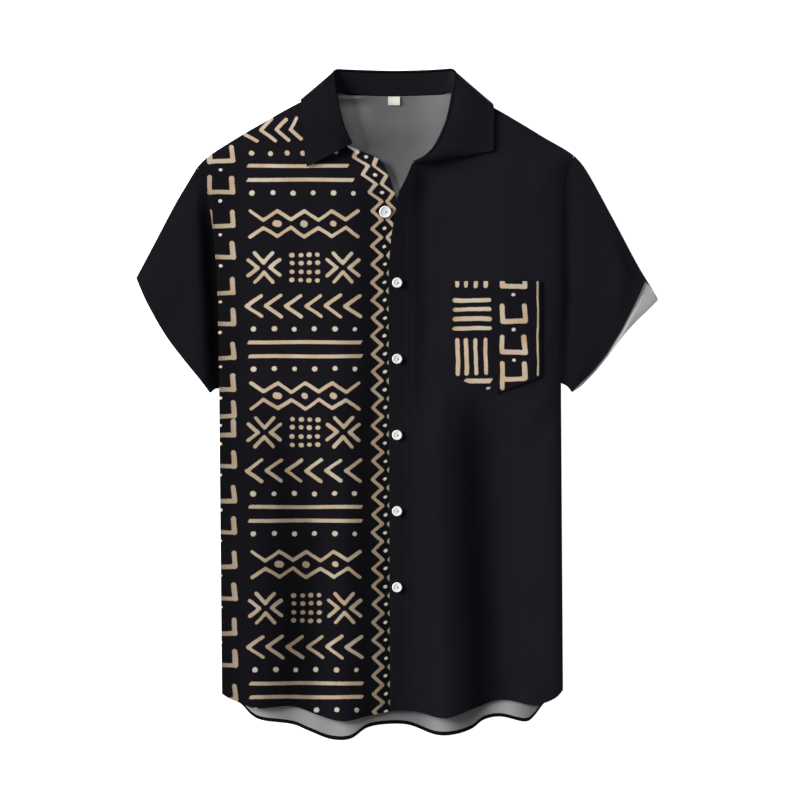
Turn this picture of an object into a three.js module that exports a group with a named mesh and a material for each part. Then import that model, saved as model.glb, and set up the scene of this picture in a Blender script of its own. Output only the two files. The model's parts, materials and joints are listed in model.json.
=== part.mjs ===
// A men's short-sleeve button-up shirt, laid out flat on its back with the front up.
// Units are millimetres. +Z is up from the surface it lies on, +Y runs from hem to collar,
// and +X is the wearer's left. The origin is under the middle of the laid-out shirt, on the surface.
// The wearer's right front carries a printed band, the left front is plain with a patch pocket.
import * as THREE from 'three';

// Cloth and seams
const clothThick = 1.2;
const seamGap = 0.35;
const layerStep = clothThick + seamGap;
const overlapStep = clothThick + 0.7;
const sleeveGap = 0.9;
const pocketStep = clothThick + 0.6;
const collarStep = clothThick + 0.7;
const backLevel = clothThick / 2;
const labelThick = 1.0;

// Body
const hemCorner = { left: [-209.8, -347.4], right: [199, -343] };
const underarm = { left: [-213.2, 19.2], right: [196.6, 25.2] };
const bodyLoft = 3.0;
const edgeRound = 9;
const plainOverlap = { fromX: 16.4, toX: 36.4 };
const leastLoft = 0.1;
const neckLift = { height: 2.6, fromY: 306, toY: 341 };
const fluteReach = 95;
const hemFade = 30;

// Sleeves: how far the mouth stands open, and where along the sleeve it has opened
const mouth = { open: 1.1, from: 0, to: 0.35 };
const cornerShare = 0.05;

// Buttons, pocket and label
const button = { radius: 6, thick: 2.6, bevel: 0.5, rim: 1.3, slope: 0.6, dish: 0.6, shank: 0.45 };
const buttonRow = { x: 0.4, firstY: 145.2, pitch: 91.2, count: 5 };
const openButton = { x: -14, y: 230, radius: 7.2 };
const pocket = { left: 65.4, right: 172.8, top: 147, corner: 33, point: 12.6 };
const label = { x: -3.6, top: 368.4, width: 14, length: 10 };

// Collar roll
const rollRadius = 1.3;
const fallBulge = 2.0;
const standShare = 0.94;

// Grid counts
const count = {
  rows: 30, frontColumns: 13, backColumns: 44,
  sleeveAlong: 10, sleeveAcross: 12, sleeveEnd: 3,
  collarStations: 54, fallSteps: 6, rollSteps: 3, standSteps: 3,
  pocket: 8, buttonSides: 20,
};

// Hem flutes: where each runs, its half width, and how high it stands
const flutes = [
  { x: -165, half: 22, rise: 1.5 },
  { x: -68, half: 32, rise: 5.5 },
  { x: 56, half: 29, rise: 4.5 },
  { x: 155, half: 17, rise: 2.5 },
];

// Soft folds of the fronts: from the top point to the foot point, half width and height
const folds = [
  { top: [84, -6], foot: [104, -352], half: 17, height: -2.9 },
  { top: [44, 40], foot: [54, -372], half: 26, height: 3.4 },
  { top: [146, 0], foot: [150, -340], half: 26, height: 1.8 },
  { top: [124, 240], foot: [122, 120], half: 40, height: 2.0 },
  { top: [62, 276], foot: [28, 228], half: 18, height: -1.5 },
  { top: [-30, 170], foot: [-24, -350], half: 13, height: -2.2 },
  { top: [-70, 30], foot: [-68, -370], half: 25, height: 2.8 },
  { top: [-124, -180], foot: [-120, -350], half: 17, height: -2.4 },
  { top: [-150, 230], foot: [-160, 60], half: 34, height: 1.6 },
  { top: [-196, 200], foot: [-188, -40], half: 14, height: -1.2 },
];

// Plan of the seams and edges, each from its lower or inner end
const plan = {
  hemFront: [
    hemCorner.left, [-202.6, -352.2], [-193, -356], [-183, -360.2], [-166.8, -364.7], [-126, -362.4],
    [-92.4, -373.2], [-65, -380], [-36, -374.3], [-3.7, -367.8], [22.8, -368.4], [57.6, -376.1],
    [92.4, -364.7], [125.4, -354.5], [162, -361.2], [176, -358.6], [185, -355.2], [192.6, -350.6],
    hemCorner.right,
  ],
  hemBack: [
    hemCorner.left, [-202.4, -352.4], [-187.2, -359.6], [-175.2, -372.3], [-160.8, -379.4], [-126, -384],
    [-105.6, -392], [-80, -401.4], [-56, -401.2], [-36, -388.2], [-12, -384], [14.4, -385],
    [45.6, -396.2], [68, -396.2], [89.3, -389.6], [104, -378.8], [124.2, -375], [152.8, -380.8],
    [163.8, -374.8], [176, -359.2], [186, -351.8], hemCorner.right,
  ],
  armholeLeft: [
    underarm.left, [-214.2, 76.8], [-215.4, 133.2], [-218, 178.8], [-223.2, 226.8], [-230.6, 260],
    [-239.4, 284],
  ],
  armholeRight: [
    underarm.right, [197.4, 76.8], [198.6, 136.8], [199.6, 196.8], [199.8, 244.8], [203.2, 276],
    [212.4, 297.6],
  ],
  shoulderLeft: [
    [-239.4, 284], [-231.4, 292.4], [-221.4, 300.2], [-199.2, 314.4], [-177, 327.6], [-155, 340],
    [-135.6, 351.2], [-112.4, 363.4], [-76.8, 380.4],
  ],
  shoulderRight: [
    [212.4, 297.6], [200.4, 305.9], [177.8, 318.6], [149.5, 335.6], [115.2, 355.4], [69.6, 379.2],
  ],
  neckBack: [
    [-76.8, 380.4], [-63.6, 371.4], [-37.2, 369.6], [-3.6, 369], [32.4, 369.8], [57.6, 371.6],
    [69.6, 379.2],
  ],
  neckLeft: [[-58, 309.4], [-69.4, 325.8], [-76.4, 346], [-78.8, 366], [-76.8, 380.4]],
  neckRight: [
    [18, 288.6], [37.2, 291.6], [49.8, 302.4], [60, 314.4], [66, 330], [69.4, 349.2], [71.2, 367.2],
    [69.6, 379.2],
  ],
  edgeLeft: [[14.4, -368.8], [14.4, -100], [14.4, 172.8], [13.2, 202.8], [6, 226.8], [0.5, 241.2]],
  openLeft: [[0.5, 241.2], [-2.9, 253.4], [-10.7, 276.7], [-20.4, 292.3], [-43.4, 303.4], [-58, 309.4]],
  edgeRight: [[-8.4, -368.4], [-9, -235.2], [-10.2, 100.8], [-9.2, 172.8], [-4.8, 214.8], [0.5, 241.2]],
  openRight: [[0.5, 241.2], [2.2, 253.4], [8.2, 265.7], [12.6, 274.6], [18, 288.6]],
};

// Sleeves: the top fold, the cuff of each layer and the underarm seam, from the body outwards
const sleeves = {
  left: {
    fold: [[-240.6, 284], [-248, 270], [-265.8, 240], [-288, 198], [-299.2, 176.8], [-312.4, 152]],
    cuffOver: [
      [-313, 151.6], [-300, 121.8], [-278.4, 83.6], [-256, 53.6], [-235.6, 28.4], [-224.2, 12.8],
    ],
    cuffUnder: [
      [-311.4, 152.4], [-298.2, 122.6], [-276.6, 85], [-254.4, 55.2], [-234.2, 30], [-222.8, 14.2],
    ],
    seam: [[-213.8, 18.6], [-218.4, 18], [-224.2, 12.8]],
    outward: -1, valley: 0.24, loft: 2.3,
  },
  right: {
    fold: [
      [213.8, 298], [223.1, 286.1], [234.5, 267.6], [250.6, 238], [271.9, 198.2], [284.6, 173.6],
      [298.6, 149],
    ],
    foldUnder: [
      [213.8, 298], [223.1, 286.1], [234.5, 267.6], [250.6, 238], [271.9, 198.2], [284.6, 174],
      [298.2, 150.4], [313.8, 125.6],
    ],
    cuffOver: [
      [298.6, 149], [292.2, 134.4], [284.2, 117.6], [276.8, 103.2], [269.4, 88.8], [262, 76.6],
      [250, 57.6], [233.4, 37.4], [219.2, 23.8], [209.8, 14],
    ],
    cuffUnder: [
      [313.8, 125.6], [303.4, 115], [288.4, 100.6], [275.2, 86.4], [263.8, 72], [253, 57.6], [241.6, 43.4],
      [235.4, 36.2], [221, 21.8], [209.8, 14],
    ],
    seam: [[197.3, 24.6], [203.8, 21.4], [209.8, 14]],
    outward: 1, valley: 0.1, loft: 2.3,
  },
};
const sleeveFolds = [
  { top: [234, 262], foot: [254, 78], half: 9, height: -1.8 },
  { top: [-262, 226], foot: [-246, 70], half: 20, height: 1.0 },
];

// Collar stations from the wearer's right front end, round the back, to the left front end.
// fold is the top of the stand, neck is the seam to the body, edge is the outer edge of the fall.
const stations = [
  { fold: [-54.0, 312.4, 10.6], neck: [-55.8, 310.8, 6.2], edge: [-108.0, 284.4, 0], over: 1 },
  { fold: [-62.8, 329.6, 14.0], neck: [-67.4, 326.6, 7.0], edge: [-111.4, 306, 0], over: 1 },
  { fold: [-69.0, 352.0, 15.0], neck: [-74.4, 347.6, 7.6], edge: [-112.4, 330, 0], over: 1 },
  { fold: [-72.6, 372.0, 14.0], neck: [-76.6, 366.6, 7.6], edge: [-112.0, 346, 0], over: 1 },
  { fold: [-74.0, 384.0, 12.2], neck: [-75.8, 372.0, 7.0], edge: [-113.6, 357.0, 8.4], over: 1 },
  { fold: [-74.8, 391.6, 10.0], neck: [-74.6, 373.0, 6.0], edge: [-115.0, 362.4, 6.6], over: 0 },
  { fold: [-74.2, 397.0, 7.8], neck: [-72.4, 372.8, 5.3], edge: [-115.4, 363.8, 4.2], over: 0 },
  { fold: [-70.4, 399.0, 6.0], neck: [-68.4, 372.2, 5.0], edge: [-113.2, 364.0, 1.6], over: 0 },
  { fold: [-63.0, 398.8, 5.0], neck: [-61.8, 372.4, 4.6], edge: [-98, 352, 0.6], over: 0 },
  { fold: [-37.2, 397.8, 4.4], neck: [-37.2, 370.5, 3.2], edge: [-54, 343.2, 0.6], over: 0 },
  { fold: [-3.6, 397.0, 4.4], neck: [-3.6, 369.9, 3.2], edge: [-3.6, 342, 0.6], over: 0 },
  { fold: [32.4, 397.8, 4.4], neck: [32.4, 370.7, 3.2], edge: [48, 343.2, 0.6], over: 0 },
  { fold: [57.0, 399.2, 5.0], neck: [56.0, 372.8, 4.5], edge: [97, 350.8, 0.6], over: 0 },
  { fold: [64.6, 399.6, 6.0], neck: [61.8, 373.4, 5.1], edge: [113.0, 359.2, 1.6], over: 0 },
  { fold: [68.2, 397.0, 7.8], neck: [65.4, 374.0, 5.3], edge: [115.0, 358.2, 4.2], over: 0 },
  { fold: [68.6, 391.6, 10.0], neck: [67.6, 374.2, 6.0], edge: [115.6, 356.0, 6.8], over: 0 },
  { fold: [67.6, 384.0, 12.2], neck: [68.8, 372.0, 7.0], edge: [116.0, 350.8, 8.6], over: 1 },
  { fold: [66.0, 372.0, 14.0], neck: [69.0, 366.6, 7.6], edge: [115.8, 343, 0], over: 1 },
  { fold: [62.6, 352.0, 15.0], neck: [67.4, 348.4, 7.6], edge: [115.6, 332, 0], over: 1 },
  { fold: [57.0, 332.0, 15.0], neck: [63.4, 330.0, 7.6], edge: [115.6, 321, 0], over: 1 },
  { fold: [45.6, 309.6, 14.0], neck: [49.4, 303.8, 7.4], edge: [115.4, 311, 0], over: 1 },
  { fold: [33.4, 298.4, 12.8], neck: [36.6, 294.4, 7.4], edge: [115.2, 307, 0], over: 1 },
  { fold: [19.6, 291.4, 10.8], neck: [19.2, 290.8, 7.4], edge: [115.0, 304.0, 0], over: 1 },
];

const clamp01 = (x) => Math.min(1, Math.max(0, x));
const mix = (a, b, t) => a + (b - a) * t;
const mixPoint = (a, b, t) => a.map((value, k) => mix(value, b[k], t));
const ease = (from, to, x) => {
  const t = clamp01((x - from) / (to - from));
  return t * t * (3 - 2 * t);
};
const bell = (distance, half) => Math.exp(-((distance / half) ** 2));

// A smooth curve through the rows, as a function of its even arc length from 0 to 1
function smoothLine(rows) {
  const at = (i) => rows[Math.min(rows.length - 1, Math.max(0, i))];
  const steps = 8;
  const dense = [];
  for (let i = 0; i < rows.length - 1; i++) {
    const span = [at(i - 1), at(i), at(i + 1), at(i + 2)];
    for (let k = 0; k < steps; k++) dense.push(hermite(...span, k / steps));
  }
  dense.push(rows[rows.length - 1]);
  const lengths = [0];
  for (let i = 1; i < dense.length; i++) lengths.push(lengths[i - 1] + distance(dense[i], dense[i - 1]));
  const total = lengths[lengths.length - 1];
  return (t) => {
    const wanted = clamp01(t) * total;
    let i = 1;
    while (i < dense.length - 1 && lengths[i] < wanted) i++;
    const share = (wanted - lengths[i - 1]) / (lengths[i] - lengths[i - 1]);
    return mixPoint(dense[i - 1], dense[i], clamp01(share));
  };
}

function distance(a, b) {
  return Math.hypot(...a.map((value, k) => value - b[k]));
}

// Catmull-Rom span from b to c
function hermite(a, b, c, d, t) {
  return b.map((value, k) => {
    const leave = (c[k] - a[k]) / 2;
    const arrive = (d[k] - value) / 2;
    const rest = c[k] - value;
    const square = 3 * rest - 2 * leave - arrive;
    const cube = leave + arrive - 2 * rest;
    return value + leave * t + square * t * t + cube * t * t * t;
  });
}

// Lines joined end to end, each up to its own share of the way
function chain(parts) {
  return (t) => {
    let from = 0;
    for (const { upTo, line } of parts) {
      if (t <= upTo + 1e-9) return line((t - from) / (upTo - from));
      from = upTo;
    }
    return parts[parts.length - 1].line(1);
  };
}

// y at x, or x at y, on a row of points that runs one way
function lookUp(rows, key, value) {
  const sorted = [...rows].sort((a, b) => a[key] - b[key]);
  if (value <= sorted[0][key]) return sorted[0][1 - key];
  for (let i = 1; i < sorted.length; i++) {
    const [low, high] = [sorted[i - 1], sorted[i]];
    if (value <= high[key]) {
      return mix(low[1 - key], high[1 - key], (value - low[key]) / (high[key] - low[key]));
    }
  }
  return sorted[sorted.length - 1][1 - key];
}

const sideRows = {
  left: [hemCorner.left, ...plan.armholeLeft],
  right: [hemCorner.right, ...plan.armholeRight],
};
const shoulderRows = [...plan.shoulderLeft, ...plan.shoulderRight];

// How far a point is from the nearer side of the body
const fromSide = (x) => Math.max(0, Math.min(x - hemCorner.left[0], hemCorner.right[0] - x));
const sideFade = (x) => ease(0, hemFade, fromSide(x));
const hemSteps = 160;
function denseHem(rows) {
  const line = smoothLine(rows);
  return Array.from({ length: hemSteps + 1 }, (_, i) => line(i / hemSteps));
}
const hemPoints = { front: denseHem(plan.hemFront), back: denseHem(plan.hemBack) };
const frontHemY = (x) => lookUp(hemPoints.front, 0, x);
const backHemY = (x) => lookUp(hemPoints.back, 0, x);

// Heights of the mid-surface of each layer above the surface that the shirt lies on
function foldHeight(rows, x, y) {
  return rows.reduce((sum, { top, foot, half, height }) => {
    const run = [foot[0] - top[0], foot[1] - top[1]];
    const t = clamp01(((x - top[0]) * run[0] + (y - top[1]) * run[1]) / (run[0] ** 2 + run[1] ** 2));
    return sum + height * bell(Math.hypot(x - top[0] - t * run[0], y - top[1] - t * run[1]), half);
  }, 0);
}

function backHeight(x, y) {
  const lift = neckLift.height * ease(neckLift.fromY, neckLift.toY, y);
  const rise = flutes.reduce((sum, row) => sum + row.rise * bell(x - row.x, row.half), 0);
  return backLevel + lift + rise * sideFade(x) * (1 - ease(0, fluteReach, y - backHemY(x))) ** 2;
}

function frontHeight(x, y) {
  const side = Math.min(x - lookUp(sideRows.left, 1, y), lookUp(sideRows.right, 1, y) - x);
  const shoulder = lookUp(shoulderRows, 0, x) - y;
  const rounded = (inwards) => 1 - Math.exp(-Math.max(0, inwards) / edgeRound);
  const spread = Math.max(leastLoft, bodyLoft + foldHeight(folds, x, y));
  return backHeight(x, y) + layerStep + spread * rounded(side) * rounded(shoulder);
}

function plainHeight(x, y) {
  return frontHeight(x, y) + overlapStep * (1 - ease(plainOverlap.fromX, plainOverlap.toX, x));
}

// A grid of plan points between four edges that meet at the corners
function patch(lower, upper, left, right, columns, rows) {
  const corners = [lower(0), lower(1), upper(0), upper(1)];
  const grid = [];
  for (let i = 0; i <= rows; i++) {
    const v = i / rows;
    const line = [];
    for (let j = 0; j <= columns; j++) {
      const u = j / columns;
      const [bottom, top, start, end] = [lower(u), upper(u), left(v), right(v)];
      line.push([0, 1].map((k) => {
        const ruled = mix(bottom[k], top[k], v) + mix(start[k], end[k], u);
        return ruled - mix(mix(corners[0][k], corners[1][k], u), mix(corners[2][k], corners[3][k], u), v);
      }));
    }
    grid.push(line);
  }
  return grid;
}

const lifted = (grid, height) => grid.map((line) => line.map(([x, y]) => [x, y, height(x, y)]));

// A closed wall of even thickness about a grid of mid-surface points.
// ring joins the last column to the first.
function wall(grid, thick, ring = false) {
  const rows = grid.length;
  const columns = grid[0].length;
  const held = (k, size) => Math.min(size - 1, Math.max(0, k));
  const columnAt = (j) => (ring ? (j + columns) % columns : held(j, columns));
  const point = (i, j) => new THREE.Vector3(...grid[held(i, rows)][columnAt(j)]);
  const sides = [[], []];
  for (let i = 0; i < rows; i++) {
    for (let j = 0; j < columns; j++) {
      const along = point(i, j + 1).sub(point(i, j - 1));
      const up = point(i + 1, j).sub(point(i - 1, j));
      const normal = along.cross(up).normalize().multiplyScalar(thick / 2);
      sides[0].push(point(i, j).add(normal));
      sides[1].push(point(i, j).sub(normal));
    }
  }
  const triangles = [];
  const shift = rows * columns;
  const quad = (a, b, c, d) => triangles.push(a, b, c, a, c, d);
  const last = ring ? columns : columns - 1;
  const id = (i, j) => i * columns + (j % columns);
  for (let i = 0; i < rows - 1; i++) {
    for (let j = 0; j < last; j++) {
      quad(id(i, j), id(i, j + 1), id(i + 1, j + 1), id(i + 1, j));
      quad(...[id(i, j), id(i + 1, j), id(i + 1, j + 1), id(i, j + 1)].map((k) => shift + k));
    }
  }
  for (let j = 0; j < last; j++) {
    quad(shift + id(0, j), shift + id(0, j + 1), id(0, j + 1), id(0, j));
    quad(id(rows - 1, j), id(rows - 1, j + 1), shift + id(rows - 1, j + 1), shift + id(rows - 1, j));
  }
  if (!ring) {
    for (let i = 0; i < rows - 1; i++) {
      quad(id(i, 0), id(i + 1, 0), shift + id(i + 1, 0), shift + id(i, 0));
      quad(shift + id(i, last), shift + id(i + 1, last), id(i + 1, last), id(i, last));
    }
  }
  const geometry = new THREE.BufferGeometry();
  const positions = sides.flat().flatMap((p) => p.toArray());
  geometry.setAttribute('position', new THREE.Float32BufferAttribute(positions, 3));
  geometry.setIndex(triangles);
  geometry.computeVertexNormals();
  return geometry;
}

// Body panels
const sideShare = 17 / 30;
const edgeShare = 21 / 30;
const openShare = 25 / 30;
const sideLine = (side) => chain([
  { upTo: sideShare, line: smoothLine([hemCorner[side], underarm[side]]) },
  { upTo: 1, line: smoothLine(side === 'left' ? plan.armholeLeft : plan.armholeRight) },
]);
const frontEdge = (edge, open, neck) => chain([
  { upTo: edgeShare, line: smoothLine(edge) },
  { upTo: openShare, line: smoothLine(open) },
  { upTo: 1, line: smoothLine(neck) },
]);
const hemLine = (from, to, hemY) => (u) => {
  const x = mix(from, to, u);
  return [x, hemY(x)];
};

function backPanel() {
  const shoulders = [smoothLine(plan.shoulderLeft), smoothLine(plan.shoulderRight)];
  const top = chain([
    { upTo: 1 / 3, line: shoulders[0] },
    { upTo: 2 / 3, line: smoothLine(plan.neckBack) },
    { upTo: 1, line: (t) => shoulders[1](1 - t) },
  ]);
  const hem = hemLine(hemCorner.left[0], hemCorner.right[0], backHemY);
  const grid = patch(hem, top, sideLine('left'), sideLine('right'), count.backColumns, count.rows);
  return wall(lifted(grid, backHeight), clothThick);
}

function printedFront() {
  const hem = hemLine(hemCorner.left[0], plan.edgeLeft[0][0], frontHemY);
  const right = snapStart(frontEdge(plan.edgeLeft, plan.openLeft, plan.neckLeft), hem(1));
  const shoulder = smoothLine(plan.shoulderLeft);
  const grid = patch(hem, shoulder, sideLine('left'), right, count.frontColumns, count.rows);
  return wall(lifted(grid, frontHeight), clothThick);
}

function plainFront() {
  const hem = hemLine(plan.edgeRight[0][0], hemCorner.right[0], frontHemY);
  const left = snapStart(frontEdge(plan.edgeRight, plan.openRight, plan.neckRight), hem(0));
  const shoulder = smoothLine(plan.shoulderRight);
  const top = (u) => shoulder(1 - u);
  const grid = patch(hem, top, left, sideLine('right'), count.frontColumns, count.rows);
  return wall(lifted(grid, plainHeight), clothThick);
}

// The line, with its first stretch bent to start exactly at the hem's end
function snapStart(line, start) {
  const off = line(0).map((value, k) => start[k] - value);
  return (t) => line(t).map((value, k) => value + off[k] * (1 - ease(0, 0.1, t)));
}

// Sleeves: a flattened tube, its two layers joined round the top fold and the underarm seam
function sleeve({ fold, foldUnder = fold, cuffOver, cuffUnder, seam, outward, valley, loft }, armhole) {
  const line = smoothLine(armhole);
  const beside = (t) => [line(t)[0] + outward * sleeveGap, line(t)[1]];
  const toTop = beside(1).map((value, k) => fold[0][k] - value);
  const toBottom = beside(0).map((value, k) => seam[0][k] - value);
  const body = (b) => {
    const nearTop = 1 - ease(0, cornerShare, b);
    const nearBottom = ease(1 - cornerShare, 1, b);
    return beside(1 - b).map((value, k) => value + toTop[k] * nearTop + toBottom[k] * nearBottom);
  };
  const layer = (foldRows, cuffRows) => {
    const foldLine = smoothLine(foldRows);
    const cuffLine = smoothLine(cuffRows);
    const seamLine = smoothLine([...seam.slice(0, -1), cuffRows[cuffRows.length - 1]]);
    return (a, b) => {
      const corners = [foldLine(0), foldLine(1), seamLine(0), seamLine(1)];
      return [0, 1].map((k) => {
        const ruled = mix(foldLine(a)[k], seamLine(a)[k], b) + mix(body(b)[k], cuffLine(b)[k], a);
        const ends = [mix(corners[0][k], corners[1][k], a), mix(corners[2][k], corners[3][k], a)];
        return ruled - mix(ends[0], ends[1], b);
      });
    };
  };
  const over = layer(fold, cuffOver);
  const under = layer(foldUnder, cuffUnder);
  const grid = [];
  for (let i = 0; i <= count.sleeveAlong; i++) {
    const a = i / count.sleeveAlong;
    const gap = layerStep + mouth.open * ease(mouth.from, mouth.to, a);
    const width = distance(over(a, 0), over(a, 1));
    const rim = clothThick / 2 / width;
    const inset = rim + gap / 2 / width;
    const ring = [];
    for (let j = 0; j <= count.sleeveAcross; j++) {
      const b = mix(inset, 1 - inset, j / count.sleeveAcross);
      const [x, y] = over(a, b);
      const round = Math.sqrt(Math.max(0, 1 - (2 * b - 1) ** 4));
      const swell = (loft * round + foldHeight(sleeveFolds, x, y)) * ease(0, valley, a);
      ring.push([x, y, backLevel + gap + Math.max(0, swell) * clamp01(8 * Math.min(b, 1 - b))]);
    }
    const edgePoint = (end, share) => turn(over, under, a, end, rim, inset, gap, share);
    for (let k = 1; k < count.sleeveEnd; k++) ring.push(edgePoint(1, k / count.sleeveEnd));
    for (let j = count.sleeveAcross; j >= 0; j--) {
      ring.push([...under(a, mix(inset, 1 - inset, j / count.sleeveAcross)), backLevel]);
    }
    for (let k = 1; k < count.sleeveEnd; k++) ring.push(edgePoint(0, 1 - k / count.sleeveEnd));
    grid.push(ring);
  }
  return wall(outward > 0 ? grid.map((ring) => [...ring].reverse()) : grid, clothThick, true);
}

// A point on the rounded edge of a sleeve, from the upper layer at 0 to the lower at 1
function turn(over, under, a, end, rim, inset, gap, share) {
  const angle = Math.PI * share;
  const fromEdge = inset - (inset - rim) * Math.sin(angle);
  const b = end ? 1 - fromEdge : fromEdge;
  return [...mixPoint(over(a, b), under(a, b), share), backLevel + (gap / 2) * (1 + Math.cos(angle))];
}

// Collar: a stand that rises from the neck seam, and a fall that rolls over its top edge
function collarStations(total) {
  const lines = ['fold', 'neck', 'edge'].map((key) => stations.map((row) => row[key]));
  const list = [];
  for (let i = 0; i <= total; i++) {
    const at = (i / total) * (stations.length - 1);
    const k = Math.min(stations.length - 2, Math.floor(at));
    const [before, after] = [Math.max(0, k - 1), Math.min(stations.length - 1, k + 2)];
    const near = (rows) => hermite(rows[before], rows[k], rows[k + 1], rows[after], at - k);
    const [fold, neck, edge] = lines.map(near);
    list.push({ fold, neck, edge, over: mix(stations[k].over, stations[k + 1].over, at - k) });
  }
  return list;
}

function collarStand(list) {
  const grid = list.map(({ fold, neck }) => {
    const line = [];
    for (let k = 0; k <= count.standSteps; k++) {
      line.push(mixPoint(neck, fold, (standShare * k) / count.standSteps));
    }
    return line;
  });
  return wall(grid, clothThick);
}

const underCollar = (x, y) => (x < 0 ? frontHeight(x, y) : plainHeight(x, y));

function collarFall(list) {
  const vector = (p) => new THREE.Vector3(...p);
  const grid = list.map(({ fold, neck, edge, over }, i) => {
    const next = vector(list[Math.min(list.length - 1, i + 1)].fold);
    const tangent = next.sub(vector(list[Math.max(0, i - 1)].fold)).normalize();
    const rise = vector(fold).sub(vector(neck)).normalize();
    const out = rise.clone().cross(tangent).normalize();
    const start = vector(fold).addScaledVector(rise, 2 * seamGap);
    const line = [];
    for (let k = 0; k < count.rollSteps; k++) {
      const angle = (Math.PI * k) / count.rollSteps;
      const point = start.clone().addScaledVector(out, rollRadius * (1 - Math.cos(angle)));
      line.push(point.addScaledVector(rise, rollRadius * Math.sin(angle)));
    }
    const rolled = start.clone().addScaledVector(out, 2 * rollRadius);
    const [edgeX, edgeY, edgeZ] = edge;
    const laid = over > 0.5 && edgeZ < 1;
    const end = vector([edgeX, edgeY, laid ? underCollar(edgeX, edgeY) + collarStep : edgeZ]);
    for (let k = 0; k <= count.fallSteps; k++) {
      const t = k / count.fallSteps;
      const p = rolled.clone().lerp(end, t);
      p.z += fallBulge * over * Math.sin(Math.PI * t) * (1 - t);
      const support = underCollar(p.x, p.y) + collarStep;
      if (over > 0.5) p.z = Math.max(p.z, support);
      else p.z = Math.max(backLevel, mix(end.z, rolled.z, (1 - t) ** 3));
      line.push(p);
    }
    return line.map((p) => p.toArray());
  });
  return wall(grid, clothThick);
}

// Patch pocket, moved out from the points of the plain front under it
function pocketPatch() {
  const middle = (pocket.left + pocket.right) / 2;
  const grid = [];
  for (let i = 0; i <= count.pocket; i++) {
    const line = [];
    for (let j = 0; j <= count.pocket; j++) {
      const x = mix(pocket.left, pocket.right, j / count.pocket);
      const foot = mix(pocket.point, pocket.corner, Math.abs(x - middle) / (middle - pocket.left));
      line.push([x, mix(foot, pocket.top, i / count.pocket)]);
    }
    grid.push(line);
  }
  return wall(lifted(grid, (x, y) => plainHeight(x, y) + pocketStep), clothThick);
}

function neckLabel() {
  const [left, right] = [label.x - label.width / 2, label.x + label.width / 2];
  const grid = [label.top - label.length, label.top].map((y) => [[left, y], [right, y]]);
  const step = (clothThick + labelThick) / 2 + seamGap;
  return wall(lifted(grid, (x, y) => backHeight(x, y) + step), labelThick);
}

// A round button with a raised rim, its flat underside at z = 0
function buttonDisc(radius) {
  const { thick, bevel, rim, slope, dish } = button;
  const profile = [
    [0, 0], [radius - bevel, 0], [radius, bevel], [radius, thick - bevel], [radius - bevel, thick],
    [radius - rim, thick], [radius - rim - slope, thick - dish], [0, thick - dish],
  ];
  const points = profile.map(([r, z]) => new THREE.Vector2(r, z));
  return new THREE.LatheGeometry(points, count.buttonSides).rotateX(Math.PI / 2);
}

const materials = {
  black: new THREE.MeshStandardMaterial({ color: '#1b1a1f', roughness: 0.85 }),
  print: new THREE.MeshStandardMaterial({ color: '#3a332c', roughness: 0.85 }),
  inside: new THREE.MeshStandardMaterial({ color: '#8b8b8c', roughness: 0.9 }),
  button: new THREE.MeshStandardMaterial({ color: '#f2f2f0', roughness: 0.35 }),
  label: new THREE.MeshStandardMaterial({ color: '#e9e6d8', roughness: 0.9 }),
};

const shirt = new THREE.Group();
function add(name, geometry, material) {
  const mesh = new THREE.Mesh(geometry, material);
  mesh.name = name;
  shirt.add(mesh);
  return mesh;
}

add('back', backPanel(), materials.inside);
add('front_right_printed', printedFront(), materials.print);
add('front_left_plain', plainFront(), materials.black);
add('sleeve_right', sleeve(sleeves.left, plan.armholeLeft), materials.black);
add('sleeve_left', sleeve(sleeves.right, plan.armholeRight), materials.black);

const ringStations = collarStations(count.collarStations);
add('collar_stand', collarStand(ringStations), materials.black);
add('collar_fall', collarFall(ringStations), materials.black);
add('pocket', pocketPatch(), materials.print);
add('neck_label', neckLabel(), materials.label);

// Buttons sit square to the cloth under them
function addButton(name, x, y, radius, height) {
  const step = 3;
  const across = height(x - step, y) - height(x + step, y);
  const along = height(x, y - step) - height(x, y + step);
  const upright = new THREE.Vector3(across, along, 2 * step).normalize();
  const disc = add(name, buttonDisc(radius), materials.button);
  disc.position.set(x, y, height(x, y)).addScaledVector(upright, clothThick / 2 + button.shank);
  disc.quaternion.setFromUnitVectors(new THREE.Vector3(0, 0, 1), upright);
}
addButton('button_1', openButton.x, openButton.y, openButton.radius, frontHeight);
for (let i = 0; i < buttonRow.count; i++) {
  const y = buttonRow.firstY - i * buttonRow.pitch;
  addButton(`button_${i + 2}`, buttonRow.x, y, button.radius, plainHeight);
}

export default shirt;
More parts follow.
